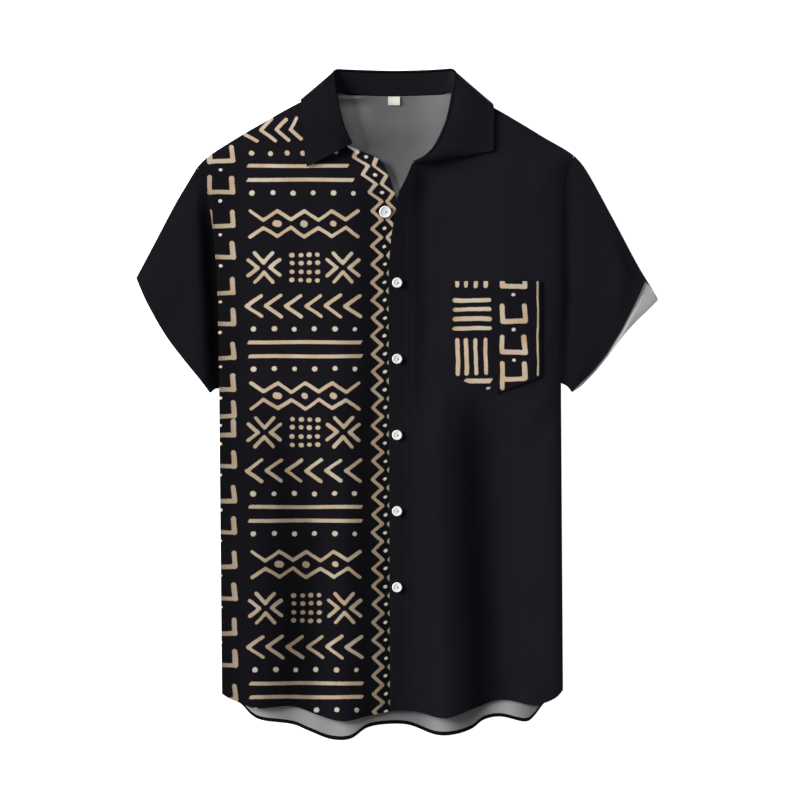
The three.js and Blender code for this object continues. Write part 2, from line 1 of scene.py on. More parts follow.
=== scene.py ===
import json
import math
import bpy
import numpy as np
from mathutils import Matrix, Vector

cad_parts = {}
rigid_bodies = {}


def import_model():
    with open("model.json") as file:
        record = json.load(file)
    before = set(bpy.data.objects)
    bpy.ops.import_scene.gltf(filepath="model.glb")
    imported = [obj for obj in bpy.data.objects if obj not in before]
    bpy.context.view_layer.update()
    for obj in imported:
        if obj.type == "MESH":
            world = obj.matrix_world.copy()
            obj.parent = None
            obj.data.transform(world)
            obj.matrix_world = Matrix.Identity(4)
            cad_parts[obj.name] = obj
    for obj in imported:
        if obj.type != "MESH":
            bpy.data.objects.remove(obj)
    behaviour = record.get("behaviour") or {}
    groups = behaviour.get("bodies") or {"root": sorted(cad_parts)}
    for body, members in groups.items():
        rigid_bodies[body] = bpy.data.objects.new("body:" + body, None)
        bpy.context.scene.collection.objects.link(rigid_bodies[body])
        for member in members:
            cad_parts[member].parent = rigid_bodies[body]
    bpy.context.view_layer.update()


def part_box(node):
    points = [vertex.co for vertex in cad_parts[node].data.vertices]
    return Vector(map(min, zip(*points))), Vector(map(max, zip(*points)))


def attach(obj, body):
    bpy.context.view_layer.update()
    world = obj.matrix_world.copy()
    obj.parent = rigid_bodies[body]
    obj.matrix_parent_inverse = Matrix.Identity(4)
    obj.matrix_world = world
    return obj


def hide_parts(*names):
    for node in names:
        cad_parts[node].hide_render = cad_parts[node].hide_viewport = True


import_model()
mm = 0.001
print("frame loaded")


# Small tools for lines, grids and soft steps

def clamp01(x):
    return np.clip(x, 0.0, 1.0)


def ease(start, end, x):
    t = clamp01((x - start) / (end - start))
    return t * t * (3 - 2 * t)


def bell(distance, half):
    return np.exp(-((distance / half) ** 2))


def softAbove(x, floor, blend=0.6):
    return floor + 0.5 * ((x - floor) + np.sqrt((x - floor) ** 2 + blend ** 2))


def spans(points, t):
    # A smooth cubic through the points; t counts them, with shares between
    p = np.asarray(points, float)
    ends = np.vstack([p[:1], p, p[-1:]])
    k = np.clip(np.floor(t).astype(int), 0, len(p) - 2)
    a, b, c, d = (ends[k + i] for i in range(4))
    s = (t - k)[:, None]
    leave, arrive, rest = (c - a) / 2, (d - b) / 2, c - b
    return b + leave * s + (3 * rest - 2 * leave - arrive) * s ** 2 + (leave + arrive - 2 * rest) * s ** 3


def densePoints(points, steps=16):
    return spans(points, np.linspace(0, len(points) - 1, (len(points) - 1) * steps + 1))


def smoothLine(points):
    # The curve through the points, as a function of the share of its length
    dense = densePoints(points)
    run = np.concatenate([[0], np.cumsum(np.linalg.norm(np.diff(dense, axis=0), axis=1))])

    def at(s):
        wanted = clamp01(np.asarray(s, float)) * run[-1]
        return np.stack([np.interp(wanted, run, dense[:, k]) for k in range(dense.shape[1])], -1)
    return at


def chain(*parts):
    # Lines end to end, each with the share at which it ends
    def at(s):
        s = np.asarray(s, float)
        out = np.zeros(s.shape + (2,))
        start = 0.0
        for end, line in parts:
            inside = (s >= start - 1e-9) & (s <= end + 1e-9)
            out[inside] = line((s[inside] - start) / (end - start))
            start = end
        return out
    return at


def backwards(line):
    return lambda s: line(1 - np.asarray(s, float))


def patch(lower, upper, left, right, columns, rows):
    # A grid stretched between four edge lines
    u = np.linspace(0, 1, columns + 1)
    v = np.linspace(0, 1, rows + 1)
    low, high, first, last = lower(u), upper(u), left(v), right(v)
    uu, vv = u[None, :, None], v[:, None, None]
    ruled = low[None] * (1 - vv) + high[None] * vv + first[:, None] * (1 - uu) + last[:, None] * uu
    corners = (low[0] * (1 - uu) + low[-1] * uu) * (1 - vv) + (high[0] * (1 - uu) + high[-1] * uu) * vv
    return ruled - corners


# The cut of each piece as it lies, in millimetres, the same lines as the solids

cutLines = {
    "hemFront": [(-209.8, -347.4), (-202.6, -352.2), (-193, -356), (-183, -360.2), (-166.8, -364.7), (-126, -362.4),
                 (-92.4, -373.2), (-65, -380), (-36, -374.3), (-3.7, -367.8), (22.8, -368.4), (57.6, -376.1),
                 (92.4, -364.7), (125.4, -354.5), (162, -361.2), (176, -358.6), (185, -355.2), (192.6, -350.6),
                 (199, -343)],
    "hemBack": [(-209.8, -347.4), (-202.4, -352.4), (-187.2, -359.6), (-175.2, -372.3), (-160.8, -379.4), (-126, -384),
                (-105.6, -392), (-80, -401.4), (-56, -401.2), (-36, -388.2), (-12, -384), (14.4, -385),
                (45.6, -396.2), (68, -396.2), (89.3, -389.6), (104, -378.8), (124.2, -375), (152.8, -380.8),
                (163.8, -374.8), (176, -359.2), (186, -351.8), (199, -343)],
    "sideRight": [(-209.8, -347.4), (-213.2, 19.2)],
    "sideLeft": [(199, -343), (196.6, 25.2)],
    "armholeRight": [(-213.2, 19.2), (-214.2, 76.8), (-215.4, 133.2), (-218, 178.8), (-223.2, 226.8), (-230.6, 260),
                     (-239.4, 284)],
    "armholeLeft": [(196.6, 25.2), (197.4, 76.8), (198.6, 136.8), (199.6, 196.8), (199.8, 244.8), (203.2, 276),
                    (212.4, 297.6)],
    "shoulderRight": [(-239.4, 284), (-231.4, 292.4), (-221.4, 300.2), (-199.2, 314.4), (-177, 327.6), (-155, 340),
                      (-135.6, 351.2), (-112.4, 363.4), (-76.8, 380.4)],
    "shoulderLeft": [(212.4, 297.6), (200.4, 305.9), (177.8, 318.6), (149.5, 335.6), (115.2, 355.4), (69.6, 379.2)],
    "neckBack": [(-76.8, 380.4), (-63.6, 371.4), (-37.2, 369.6), (-3.6, 369), (32.4, 369.8), (57.6, 371.6),
                 (69.6, 379.2)],
    "neckRight": [(-58, 309.4), (-69.4, 325.8), (-76.4, 346), (-78.8, 366), (-76.8, 380.4)],
    "neckLeft": [(18, 288.6), (37.2, 291.6), (49.8, 302.4), (60, 314.4), (66, 330), (69.4, 349.2), (71.2, 367.2),
                 (69.6, 379.2)],
    "edgeUnder": [(14.4, -368.8), (14.4, -100), (14.4, 172.8), (13.2, 202.8), (6, 226.8), (0.5, 241.2)],
    "openUnder": [(0.5, 241.2), (-2.9, 253.4), (-10.7, 276.7), (-20.4, 292.3), (-43.4, 303.4), (-58, 309.4)],
    "edgeOver": [(-8.4, -368.4), (-9, -235.2), (-10.2, 100.8), (-9.2, 172.8), (-4.8, 214.8), (0.5, 241.2)],
    "openOver": [(0.5, 241.2), (2.2, 253.4), (8.2, 265.7), (12.6, 274.6), (18, 288.6)],
}

cloth = {
    "thick": 0.9,
    "backLevel": 0.6,
    "layerStep": 1.55,
    "overlapStep": 1.9,
    "bodyLoft": 3.0,
    "edgeRound": 11,
    "neckLift": (2.6, 306, 341),
    "overlapBlend": (16.4, 36.4),
    "fluteReach": 95,
}

# Where the hem stands up in soft flutes: place, half width, rise
flutes = [(-165, 22, 1.5), (-68, 32, 5.5), (56, 29, 4.5), (155, 17, 2.5)]

# Broad drapes across each front: the line of the crease with its strength, and the height across it
drapes = [
    {"line": [(95, 26, 0.0), (95, 2, 0.5), (95, -30, 0.9), (96, -80, 1.0), (97, -146, 1.0), (100, -222, 1.0),
              (103, -296, 1.0), (104, -372, 1.0)],
     "section": [(-160, 0), (-127, -1.3), (-107, -2.0), (-83, -0.9), (-67, 1.2), (-52, 3.0), (-38, 3.0), (-22, 1.5),
                 (-9, -0.6), (-1, -1.9), (6, -2.3), (16, -2.5), (30, -2.6), (46, -2.4), (70, -1.1), (93, 0.3),
                 (110, 0.4)]},
    {"line": [(-142, 30, 0.0), (-138, -20, 0.35), (-130, -80, 0.6), (-121, -140, 0.8), (-117, -236, 1.0),
              (-118, -310, 1.0), (-124, -372, 0.95)],
     "section": [(-96, 0.4), (-66, 2.0), (-40, 1.5), (-22, 0.2), (-9, -1.3), (0, -2.0), (7, -1.9), (20, -0.6),
                 (38, 0.4), (52, 0.1), (80, -0.4), (104, 0)]},
]
for drape in drapes:
    drape["line"] = np.array(drape["line"][::-1], float)
    drape["section"] = densePoints(drape["section"])

# Long folds: line from top to foot, width to its left and to its right, height, length of the soft ends
longFolds = [
    ([(44, 40), (40, -80), (34, -200), (40, -372)], 18, 24, 0.6, 60),
    ([(146, 0), (150, -180), (152, -372)], 20, 18, 0.5, 60),
    ([(-27, 60), (-30, -60), (-34, -180), (-33, -372)], 13, 7, -0.9, 70),
    ([(-70, 30), (-64, -120), (-66, -250), (-68, -372)], 20, 18, 0.8, 70),
    ([(-129, -56), (-127, -100), (-123, -124)], 20, 12, -1.0, 30),
    ([(-99, -96), (-100, -120), (-108, -205)], 10, 14, 0.9, 30),
    ([(-150, 230), (-158, 120), (-160, 60)], 34, 30, 1.2, 60),
    ([(124, 250), (122, 190), (122, 130)], 40, 36, 1.6, 50),
]

# Short creases between two points: half width and height
shortFolds = [
    ((62, 284), (26, 246), 15, -1.5),
    ((80, 262), (38, 214), 16, 0.8),
    ((186, 20), (150, -26), 11, 0.8),
    ((190, -6), (166, -58), 10, -0.7),
    ((192, 84), (160, 52), 12, 0.5),
    ((-204, 30), (-172, -18), 11, 0.8),
    ((-204, 0), (-180, -50), 10, -0.8),
    ((-208, 110), (-176, 84), 12, -0.6),
    ((20, 150), (62, 168), 9, 0.45),
    ((20, 60), (56, 40), 9, 0.4),
    ((20, -40), (54, -66), 9, 0.45),
    ((20, -134), (50, -146), 8, 0.4),
    ((-30, 150), (-76, 172), 9, 0.4),
    ((-28, 50), (-66, 34), 9, 0.4),
    ((-196, 200), (-186, 40), 14, -1.2),
    ((-214, 282), (-176, 250), 13, 0.6),
    ((184, 286), (160, 240), 14, 0.7),
    ((-28, 222), (-60, 250), 10, 0.5),
]

# Painted shade in the creases: the line with its depth, then how far the painted shade reaches to the left and to the
# right
plainShades = [
    ([(97, 40, 0.0), (97, -10, 0.35), (97, -50, 0.58), (98, -146, 0.68), (102, -222, 0.68), (105, -296, 0.7),
      (108, -372, 0.7)], 33, 20),
    ([(10, 300, 0.4), (6, 250, 0.55), (-2, 190, 0.5), (-2, 125, 0.42), (-1, 60, 0.34), (-1, -372, 0.38)], 30, 30),
]
printedShades = [
    ([(-134, 30, 0.0), (-128, -40, 0.3), (-119, -100, 0.5), (-111, -160, 0.62), (-110, -250, 0.7),
      (-112, -372, 0.68)], 60, 20),
    ([(-26, 250, 0.35), (-26, 70, 0.5), (-24, -100, 0.58), (-20, -240, 0.68), (-20, -372, 0.68)], 36, 26),
    ([(-222, 280, 0.3), (-216, 150, 0.35), (-214, 60, 0.45), (-212, -372, 0.55)], 20, 28),
]
# Painted shade in the valley beside each armhole, listed the same way
sleeveShades = {
    "right": [
        ([(-232, 270, 0.1), (-230, 240, 0.45), (-227.5, 204, 0.85), (-225, 168, 0.97), (-223.5, 132, 0.98),
          (-221.5, 96, 0.98), (-220, 60, 0.98), (-218.5, 22, 0.98)], 11, 15),
    ],
    "left": [
        ([(203, 280, 0.2), (201, 264, 0.35), (201.5, 228, 0.55), (202, 192, 0.5), (202.5, 156, 0.7), (201.5, 120, 0.8),
          (200, 84, 0.6), (199, 24, 0.5)], 5, 5),
    ],
}

hemFrontLine = densePoints(cutLines["hemFront"])
hemBackLine = densePoints(cutLines["hemBack"])
sideRightLine = np.vstack([cutLines["sideRight"][:1], densePoints(cutLines["armholeRight"])])
sideLeftLine = np.vstack([cutLines["sideLeft"][:1], densePoints(cutLines["armholeLeft"])])
shoulderLine = np.vstack([densePoints(cutLines["shoulderRight"]), densePoints(cutLines["shoulderLeft"])[::-1]])


def hemFrontY(x):
    return np.interp(x, hemFrontLine[:, 0], hemFrontLine[:, 1])


def hemBackY(x):
    return np.interp(x, hemBackLine[:, 0], hemBackLine[:, 1])


def longFoldSum(x, y, folds):
    total = np.zeros_like(x)
    for points, left, right, height, softEnd in folds:
        line = np.array(points[::-1], float)
        off = x - np.interp(y, line[:, 1], line[:, 0])
        beyond = np.maximum(0, np.maximum(y - line[-1, 1], line[0, 1] - y))
        total += height * bell(off, np.where(off < 0, left, right)) * bell(beyond, softEnd)
    return total


def foldSum(x, y):
    total = longFoldSum(x, y, longFolds)
    for drape in drapes:
        line, section = drape["line"], drape["section"]
        off = x - np.interp(y, line[:, 1], line[:, 0])
        total += np.interp(y, line[:, 1], line[:, 2]) * np.interp(off, section[:, 0], section[:, 1])
    for (x1, y1), (x2, y2), half, height in shortFolds:
        run = (x2 - x1, y2 - y1)
        t = clamp01(((x - x1) * run[0] + (y - y1) * run[1]) / (run[0] ** 2 + run[1] ** 2))
        away = np.hypot(x - x1 - t * run[0], y - y1 - t * run[1])
        total += height * bell(away, half) * (0.35 + 0.65 * np.sin(np.pi * (0.1 + 0.8 * t)))
    return total


def ripple(x, y):
    # Faint unevenness of cloth that was pressed and then handled
    return (0.16 * np.sin(x / 19 + 1.3 * np.sin(y / 47)) * np.sin(y / 61 + 0.6)
            + 0.10 * np.sin(x / 8.5 + y / 31 + 2.1) * np.sin(y / 83 + x / 57)
            + 0.07 * np.sin(x / 5.1 - y / 23) * np.sin(y / 37 - 1.1))


def backHeight(x, y):
    lift = cloth["neckLift"][0] * ease(cloth["neckLift"][1], cloth["neckLift"][2], y)
    rise = sum(height * bell(x - place, half) for place, half, height in flutes)
    fromSide = np.clip(np.minimum(x - cutLines["hemBack"][0][0], cutLines["hemBack"][-1][0] - x), 0, None)
    return cloth["backLevel"] + lift + rise * ease(0, 30, fromSide) * (
        1 - ease(0, cloth["fluteReach"], y - hemBackY(x))) ** 2


def frontHeight(x, y):
    side = np.minimum(x - np.interp(y, sideRightLine[:, 1], sideRightLine[:, 0]),
                      np.interp(y, sideLeftLine[:, 1], sideLeftLine[:, 0]) - x)
    shoulder = np.interp(x, shoulderLine[:, 0], shoulderLine[:, 1]) - y
    rounding = (1 - np.exp(-np.clip(side, 0, None) / cloth["edgeRound"])) * (
        1 - np.exp(-np.clip(shoulder, 0, None) / cloth["edgeRound"]))
    spread = softAbove(cloth["bodyLoft"] + foldSum(x, y), 0.1, 0.7)
    return backHeight(x, y) + cloth["layerStep"] + (spread + ripple(x, y)) * rounding


def plainHeight(x, y):
    start, end = cloth["overlapBlend"]
    return frontHeight(x, y) + cloth["overlapStep"] * (1 - ease(start, end, x))


# Meshes

def placeObject(name, data):
    obj = bpy.data.objects.new(name, data)
    bpy.context.scene.collection.objects.link(obj)
    return obj


def gridNormals(grid, ring=False):
    if ring:
        across = np.roll(grid, -1, axis=1) - np.roll(grid, 1, axis=1)
    else:
        across = np.gradient(grid, axis=1)
    along = np.gradient(grid, axis=0)
    n = np.cross(across, along)
    return n / np.maximum(np.linalg.norm(n, axis=2, keepdims=True), 1e-9)


def finishMesh(name, points, faces, materials, faceMaterial=None, fields=None, uv=None, sharp=40):
    mesh = bpy.data.meshes.new(name)
    mesh.from_pydata((np.asarray(points) * mm).tolist(), [], np.asarray(faces).tolist())
    for material in materials:
        mesh.materials.append(material)
    if faceMaterial is not None:
        mesh.polygons.foreach_set("material_index", np.asarray(faceMaterial, np.int32))
    for key, values in (fields or {}).items():
        mesh.attributes.new(key, "FLOAT", "POINT").data.foreach_set("value", np.asarray(values, np.float32))
    if uv is not None:
        corner = np.asarray(faces).ravel()
        mesh.uv_layers.new(name="cloth").uv.foreach_set("vector", np.asarray(uv, np.float32)[corner].ravel() * mm)
    mesh.shade_smooth()
    mesh.set_sharp_from_angle(angle=math.radians(sharp))
    return placeObject(name, mesh)


def splitQuads(points, quads):
    # Each four-sided cell is cut along its shorter diagonal
    a, b, c, d = (points[quads[:, k]] for k in range(4))
    short = (np.linalg.norm(a - c, axis=1) <= np.linalg.norm(b - d, axis=1))[:, None]
    return np.concatenate([np.where(short, quads[:, [0, 1, 2]], quads[:, [0, 1, 3]]),
                           np.where(short, quads[:, [0, 2, 3]], quads[:, [1, 2, 3]])])


def clothWall(name, grid, thick, materials, outerMap=None, innerMap=None, lastRim=None, ring=False, fields=None,
              inside=None, uv=None):
    # grid is the middle of the cloth, materials are (outer, inner), inside holds fields that differ on the inner face,
    # and lastRim picks the material along the end of the last row
    rows, columns = grid.shape[:2]
    n = gridNormals(grid, ring) * thick / 2
    points = np.concatenate([(grid + n).reshape(-1, 3), (grid - n).reshape(-1, 3)])
    shift = rows * columns
    last = columns if ring else columns - 1
    i, j = np.meshgrid(np.arange(rows - 1), np.arange(last), indexing="ij")
    i, j = i.ravel(), j.ravel()
    k = (j + 1) % columns
    outer = np.stack([i * columns + j, i * columns + k, (i + 1) * columns + k, (i + 1) * columns + j], 1)
    inner = outer[:, ::-1] + shift
    ends = []
    for row, flip in ((0, 1), (rows - 1, 0)):
        a = row * columns + np.arange(last)
        b = row * columns + (np.arange(last) + 1) % columns
        ends.append(np.stack([a + shift, b + shift, b, a] if flip else [a, b, b + shift, a + shift], 1))
    if not ring:
        for column, flip in ((0, 0), (columns - 1, 1)):
            a = np.arange(rows - 1) * columns + column
            b = a + columns
            strip = [a + shift, b + shift, b, a]
            ends.append(np.stack(strip if flip else strip[::-1], 1))
    rim = np.zeros(sum(len(strip) for strip in ends), int)
    if lastRim is not None:
        rim[last:2 * last] = lastRim
    faces = np.concatenate([outer, inner] + ends)
    pick = np.concatenate([
        np.zeros(len(outer), int) if outerMap is None else outerMap.ravel(),
        np.ones(len(inner), int) if innerMap is None else innerMap.ravel(),
        rim])
    under = inside or {}
    both = {key: np.concatenate([value.ravel(), under.get(key, value).ravel()])
            for key, value in (fields or {}).items()}
    flat = grid[:, :, :2].reshape(-1, 2) if uv is None else uv.reshape(-1, 2)
    return finishMesh(name, points, splitQuads(points, faces), materials, np.concatenate([pick, pick]), both,
                      np.concatenate([flat, flat]))


def runLengths(grid):
    along = np.concatenate([[0], np.cumsum(np.linalg.norm(np.diff(grid[:, 0], axis=0), axis=1))])
    across = np.concatenate([[0], np.cumsum(np.linalg.norm(np.diff(grid[grid.shape[0] // 2], axis=0), axis=1))])
    return np.stack(np.meshgrid(across, along), -1)


# Colours and materials

# The near black and its lighter copy are shaded and lit copies of one colour, and so are the two wrong-side greys; the
# painted light and shade field mixes each pair. The dull brown ink is the tan ink painted in shade: it is used in full
# at the lower of the two ink tone values and not at all at the higher
viscose = {
    "dark": "#020203", "light": "#212027",
    "ink": "#cbb08f", "inkPale": "#d6c6b2", "inkShaded": "#6a5c4e", "inkWhite": "#ffffff",
    "wrongShaded": "#5e5e60", "wrongLit": "#ececed",
    "thread": 0.5, "depth": 0.05, "slub": 0.6, "inkRagged": 0.9, "shadedInkTone": 0.08, "litInkTone": 0.57,
}
mattCloth = {"Specular IOR Level": 0.03, "Sheen Weight": 0.004, "Sheen Roughness": 0.45}


def colour(hexValue):
    parts = [int(hexValue[k:k + 2], 16) / 255 for k in (1, 3, 5)]
    return [c / 12.92 if c <= 0.04045 else ((c + 0.055) / 1.055) ** 2.4 for c in parts] + [1.0]


def addNode(tree, kind, settings=None, sockets=None):
    node = tree.nodes.new(kind)
    for key, value in (settings or {}).items():
        setattr(node, key, value)
    for key, value in (sockets or {}).items():
        if isinstance(value, bpy.types.NodeSocket):
            tree.links.new(value, node.inputs[key])
        else:
            node.inputs[key].default_value = value
    return node


def startMaterial(name, finish):
    # finish holds values for the shader's own inputs
    material = bpy.data.materials.new(name)
    material.use_nodes = True
    tree = material.node_tree
    tree.nodes.clear()
    shader = addNode(tree, "ShaderNodeBsdfPrincipled", sockets=finish)
    addNode(tree, "ShaderNodeOutputMaterial", sockets={"Surface": shader.outputs["BSDF"]})
    return material, tree, shader


def clothPlace(tree):
    return addNode(tree, "ShaderNodeUVMap", {"uv_map": "cloth"}).outputs["UV"]


def objectPlace(tree):
    return addNode(tree, "ShaderNodeTexCoord").outputs["Object"]


def field(tree, name):
    return addNode(tree, "ShaderNodeAttribute", {"attribute_name": name}).outputs["Fac"]


def noise(tree, place, scale, detail, distortion=0.0):
    return addNode(tree, "ShaderNodeTexNoise", None, {"Vector": place, "Scale": scale, "Detail": detail,
                                                      "Distortion": distortion}).outputs["Fac"]


def bands(tree, place, direction, spacing, distortion):
    # Sine bands spacing millimetres apart; the wave texture's own scale counts 20 radians to a unit
    return addNode(tree, "ShaderNodeTexWave", {"bands_direction": direction},
                   {"Vector": place, "Scale": 2 * math.pi / 20 / (spacing * mm),
                    "Distortion": distortion}).outputs["Fac"]


def combine(tree, operation, *values, clamp=False):
    return addNode(tree, "ShaderNodeMath", {"operation": operation, "use_clamp": clamp},
                   dict(enumerate(values))).outputs["Value"]


def rescale(tree, value, start, end, first=0.0, last=1.0, shape="LINEAR"):
    return addNode(tree, "ShaderNodeMapRange", {"interpolation_type": shape},
                   {"Value": value, "From Min": start, "From Max": end, "To Min": first,
                    "To Max": last}).outputs["Result"]


def blend(tree, share, first, second):
    return addNode(tree, "ShaderNodeMix", {"data_type": "RGBA"}, {0: share, 6: first, 7: second}).outputs[2]


def bump(tree, height, strength, depth):
    return addNode(tree, "ShaderNodeBump", None, {"Strength": strength, "Distance": depth * mm,
                                                  "Height": height}).outputs["Normal"]


def weaveBump(tree):
    # A plain weave: warp and weft bands crossed, with thicker threads here and there
    place = clothPlace(tree)
    warp, weft = (bands(tree, place, way, viscose["thread"], viscose["slub"]) for way in "XY")
    return bump(tree, combine(tree, "MULTIPLY", warp, weft), 0.35, viscose["depth"])


def toneAndShadeMix(tree, dark, light):
    # The tone field paints shade in the hollows of folds and a little light on their crests; this mixes a shaded and a
    # lit colour by it, a little cloudy
    cloud = noise(tree, clothPlace(tree), 14.0, 3.0)
    patchy = combine(tree, "MULTIPLY_ADD", cloud, 0.16, -0.08)
    share = combine(tree, "ADD", field(tree, "toneAndShade"), patchy, clamp=True)
    return blend(tree, share, colour(dark), colour(light))


def wear(tree, shader, base, normal=None):
    tree.links.new(base, shader.inputs["Base Color"])
    if normal:
        tree.links.new(normal, shader.inputs["Normal"])


def viscoseShirtingBlack():
    # Plain-weave viscose, piece dyed near black: matt, the fine weave only just lifts the light off it
    material, tree, shader = startMaterial("viscoseShirtingBlack", {"Roughness": 0.78, **mattCloth})
    # Its colour is a shaded and a lit black, mixed by the painted shade field
    wear(tree, shader, toneAndShadeMix(tree, viscose["dark"], viscose["light"]), weaveBump(tree))
    return material


def viscoseShirtingPrinted():
    # The same viscose, pigment printed: flat tan ink with slightly soft, uneven edges, painted duller and darker where
    # the tone field paints shade on the cloth
    v = viscose
    material, tree, shader = startMaterial("viscoseShirtingPrinted", {"Roughness": 0.8, **mattCloth})
    place = clothPlace(tree)
    ragged = combine(tree, "MULTIPLY_ADD", noise(tree, place, 420.0, 2.0), v["inkRagged"], field(tree, "print"))
    inked = rescale(tree, ragged, 0.0, v["inkRagged"], 1.0, 0.0, "SMOOTHSTEP")
    uneven = rescale(tree, noise(tree, place, 36.0, 4.0), 0.35, 0.65)
    litInk = blend(tree, uneven, colour(v["ink"]), colour(v["inkPale"]))
    shadedInk = blend(tree, rescale(tree, field(tree, "toneAndShade"), v["shadedInkTone"], v["litInkTone"]), colour(v["inkShaded"]), litInk)
    ink = blend(tree, field(tree, "pale"), shadedInk, colour(v["inkWhite"]))
    wear(tree, shader, blend(tree, inked, toneAndShadeMix(tree, v["dark"], v["light"]), ink), weaveBump(tree))
    return material


def viscoseWrongSide():
    # The unprinted wrong side, where less dye shows: a dull mid grey, mixed from a shaded and a lit grey by the
    # painted light and shade field
    material, tree, shader = startMaterial("viscoseWrongSide", {"Roughness": 0.85, "Specular IOR Level": 0.15})
    wear(tree, shader, toneAndShadeMix(tree, viscose["wrongShaded"], viscose["wrongLit"]), weaveBump(tree))
    return material


def polyesterResinPearl():
    # Moulded and tumbled polyester resin: white with a faint pearly cloud under a smooth gloss
    material, tree, shader = startMaterial("polyesterResinPearl", {"Roughness": 0.28, "IOR": 1.54})
    wear(tree, shader, blend(tree, noise(tree, objectPlace(tree), 160.0, 3.0, 0.8), colour("#e4e4e4"),
                             colour("#fafaf8")))
    return material


def spunPolyesterThread(name, dark, light):
    # Twisted sewing thread: the twist shows as slanted bands 0.4 mm apart, drawn coarse enough to see
    material, tree, shader = startMaterial(name, {"Roughness": 0.6, "Specular IOR Level": 0.2})
    twist = bands(tree, objectPlace(tree), "DIAGONAL", 0.4, 1.0)
    wear(tree, shader, blend(tree, twist, colour(dark), colour(light)))
    return material


def satinLabelTape():
    # Woven polyester satin: off-white, smooth along the warp, with a fine rib across
    material, tree, shader = startMaterial("satinLabelTape", {"Roughness": 0.5, "Sheen Weight": 0.2})
    rib = bands(tree, clothPlace(tree), "Y", 0.6, 0.4)
    wear(tree, shader, blend(tree, rib, colour("#d9d6ca"), colour("#efece2")), bump(tree, rib, 0.3, 0.05))
    return material


black = viscoseShirtingBlack()
printed = viscoseShirtingPrinted()
wrongSide = viscoseWrongSide()
resin = polyesterResinPearl()
darkThread = spunPolyesterThread("spunPolyesterThreadBlack", "#08080a", "#1b1a1f")
paleThread = spunPolyesterThread("spunPolyesterThreadWhite", "#bdbdbe", "#ececea")
tape = satinLabelTape()
print("materials made")


# Camera, floor and light

view = {"centre": (0.0, 8.4), "width": 952.8, "distance": 4000.0, "sensor": 36.0, "clipEnd": 100}

camera = bpy.data.cameras.new("camera")
camera.sensor_width = view["sensor"]
camera.lens = view["sensor"] * view["distance"] / view["width"]
camera.clip_end = view["clipEnd"]
camera.dof.use_dof = False
cameraObject = placeObject("camera", camera)
cameraObject.location = Vector((*view["centre"], view["distance"])) * mm
bpy.context.scene.camera = cameraObject

light = {"worldStrength": 0.28, "keyPower": 1480.0, "keyDistance": 8.0, "keySize": 4.2, "elevation": 17.0,
         "turn": 160.0, "floorGlow": 0.85}


def mattePaper():
    # A seamless roll of white paper, lit so that it reads as clean white
    return startMaterial("mattePaper", {
        "Base Color": colour("#f4f4f4"), "Roughness": 0.9, "Specular IOR Level": 0.1, "Emission Color": (1, 1, 1, 1),
        "Emission Strength": light["floorGlow"]})[0]


def addFloor(half=12.0, level=-0.0002):
    mesh = bpy.data.meshes.new("floor")
    mesh.from_pydata([(x * half, y * half, level) for x, y in ((-1, -1), (1, -1), (1, 1), (-1, 1))], [], [range(4)])
    mesh.materials.append(mattePaper())
    placeObject("floor", mesh)


addFloor()
world = bpy.data.worlds.new("softRoom")
bpy.context.scene.world = world
world.use_nodes = True
world.node_tree.nodes["Background"].inputs["Color"].default_value = (1, 1, 1, 1)
world.node_tree.nodes["Background"].inputs["Strength"].default_value = light["worldStrength"]


def addSoftbox(name):
    lamp = bpy.data.lights.new(name, "AREA")
    lamp.energy = light["keyPower"]
    lamp.shape = "DISK"
    lamp.size = light["keySize"]
    obj = placeObject(name, lamp)
    e, t = math.radians(light["elevation"]), math.radians(light["turn"])
    toward = Vector((math.cos(e) * math.cos(t), math.cos(e) * math.sin(t), math.sin(e)))
    obj.location = toward * light["keyDistance"]
    obj.rotation_euler = obj.location.to_track_quat("Z", "Y").to_euler()


addSoftbox("keySoftbox")
bpy.context.scene.view_settings.view_transform = "Standard"
bpy.context.scene.view_settings.look = "None"
print("camera, floor and light set")


# The print, charted in millimetres: rows by height, motifs by place along the row, and how far a row sits to the right

printRows = [
    ("dots", 252.8, 0), ("diamonds", 216.0, 0), ("crosses", 163.4, 0), ("chevrons", 117.4, 0), ("dots", 90.0, 1.2),
    ("bar", 74.0, 0), ("bar", 57.2, 0.8), ("dots", 42.2, 1.2), ("diamonds", 9.8, 1.0), ("crosses", -33.8, 0.6),
    ("chevrons", -79.8, 0.2), ("dots", -107.4, 1.4), ("bar", -123.4, 0.8), ("bar", -139.8, 0.8), ("dots", -155.4, 1.6),
    ("diamonds", -192.2, 2.4), ("crosses", -244.6, 2.0), ("chevrons", -291.2, 1.8), ("dots", -318.4, 3.0),
    ("bar", -334.7, 2.0), ("bar", -351.1, 2.0), ("dots", -366.4, 3.4),
]
topStrokes = [
    (-182.0, 323.0, -167.6, 315.6, 2.0), (-163.4, 328.4, -150.2, 341.6, 2.0), (-163.4, 328.4, -145.4, 315.4, 2.0),
    (-145.0, 328.4, -133.2, 341.2, 2.0), (-145.0, 328.4, -129.6, 315.6, 2.0), (-127.6, 328.8, -120.8, 342.6, 2.0),
    (-127.6, 328.8, -114.4, 317.8, 2.0), (-174.2, 300.8, -173.6, 300.6, 3.1), (-151.2, 300.4, -151.0, 300.2, 2.9),
    (-131.4, 300.8, -131.2, 300.4, 2.9), (-113.0, 300.8, -112.8, 300.2, 3.0), (-72.8, 301.0, -72.2, 301.2, 1.8),
]
topBars = [(-179.4, -58.4, 285.3, 2.15), (-179.4, -51.6, 268.7, 2.25)]
palePatch = (-57.4, 309.0, -46.6, 301.8, 1.8)
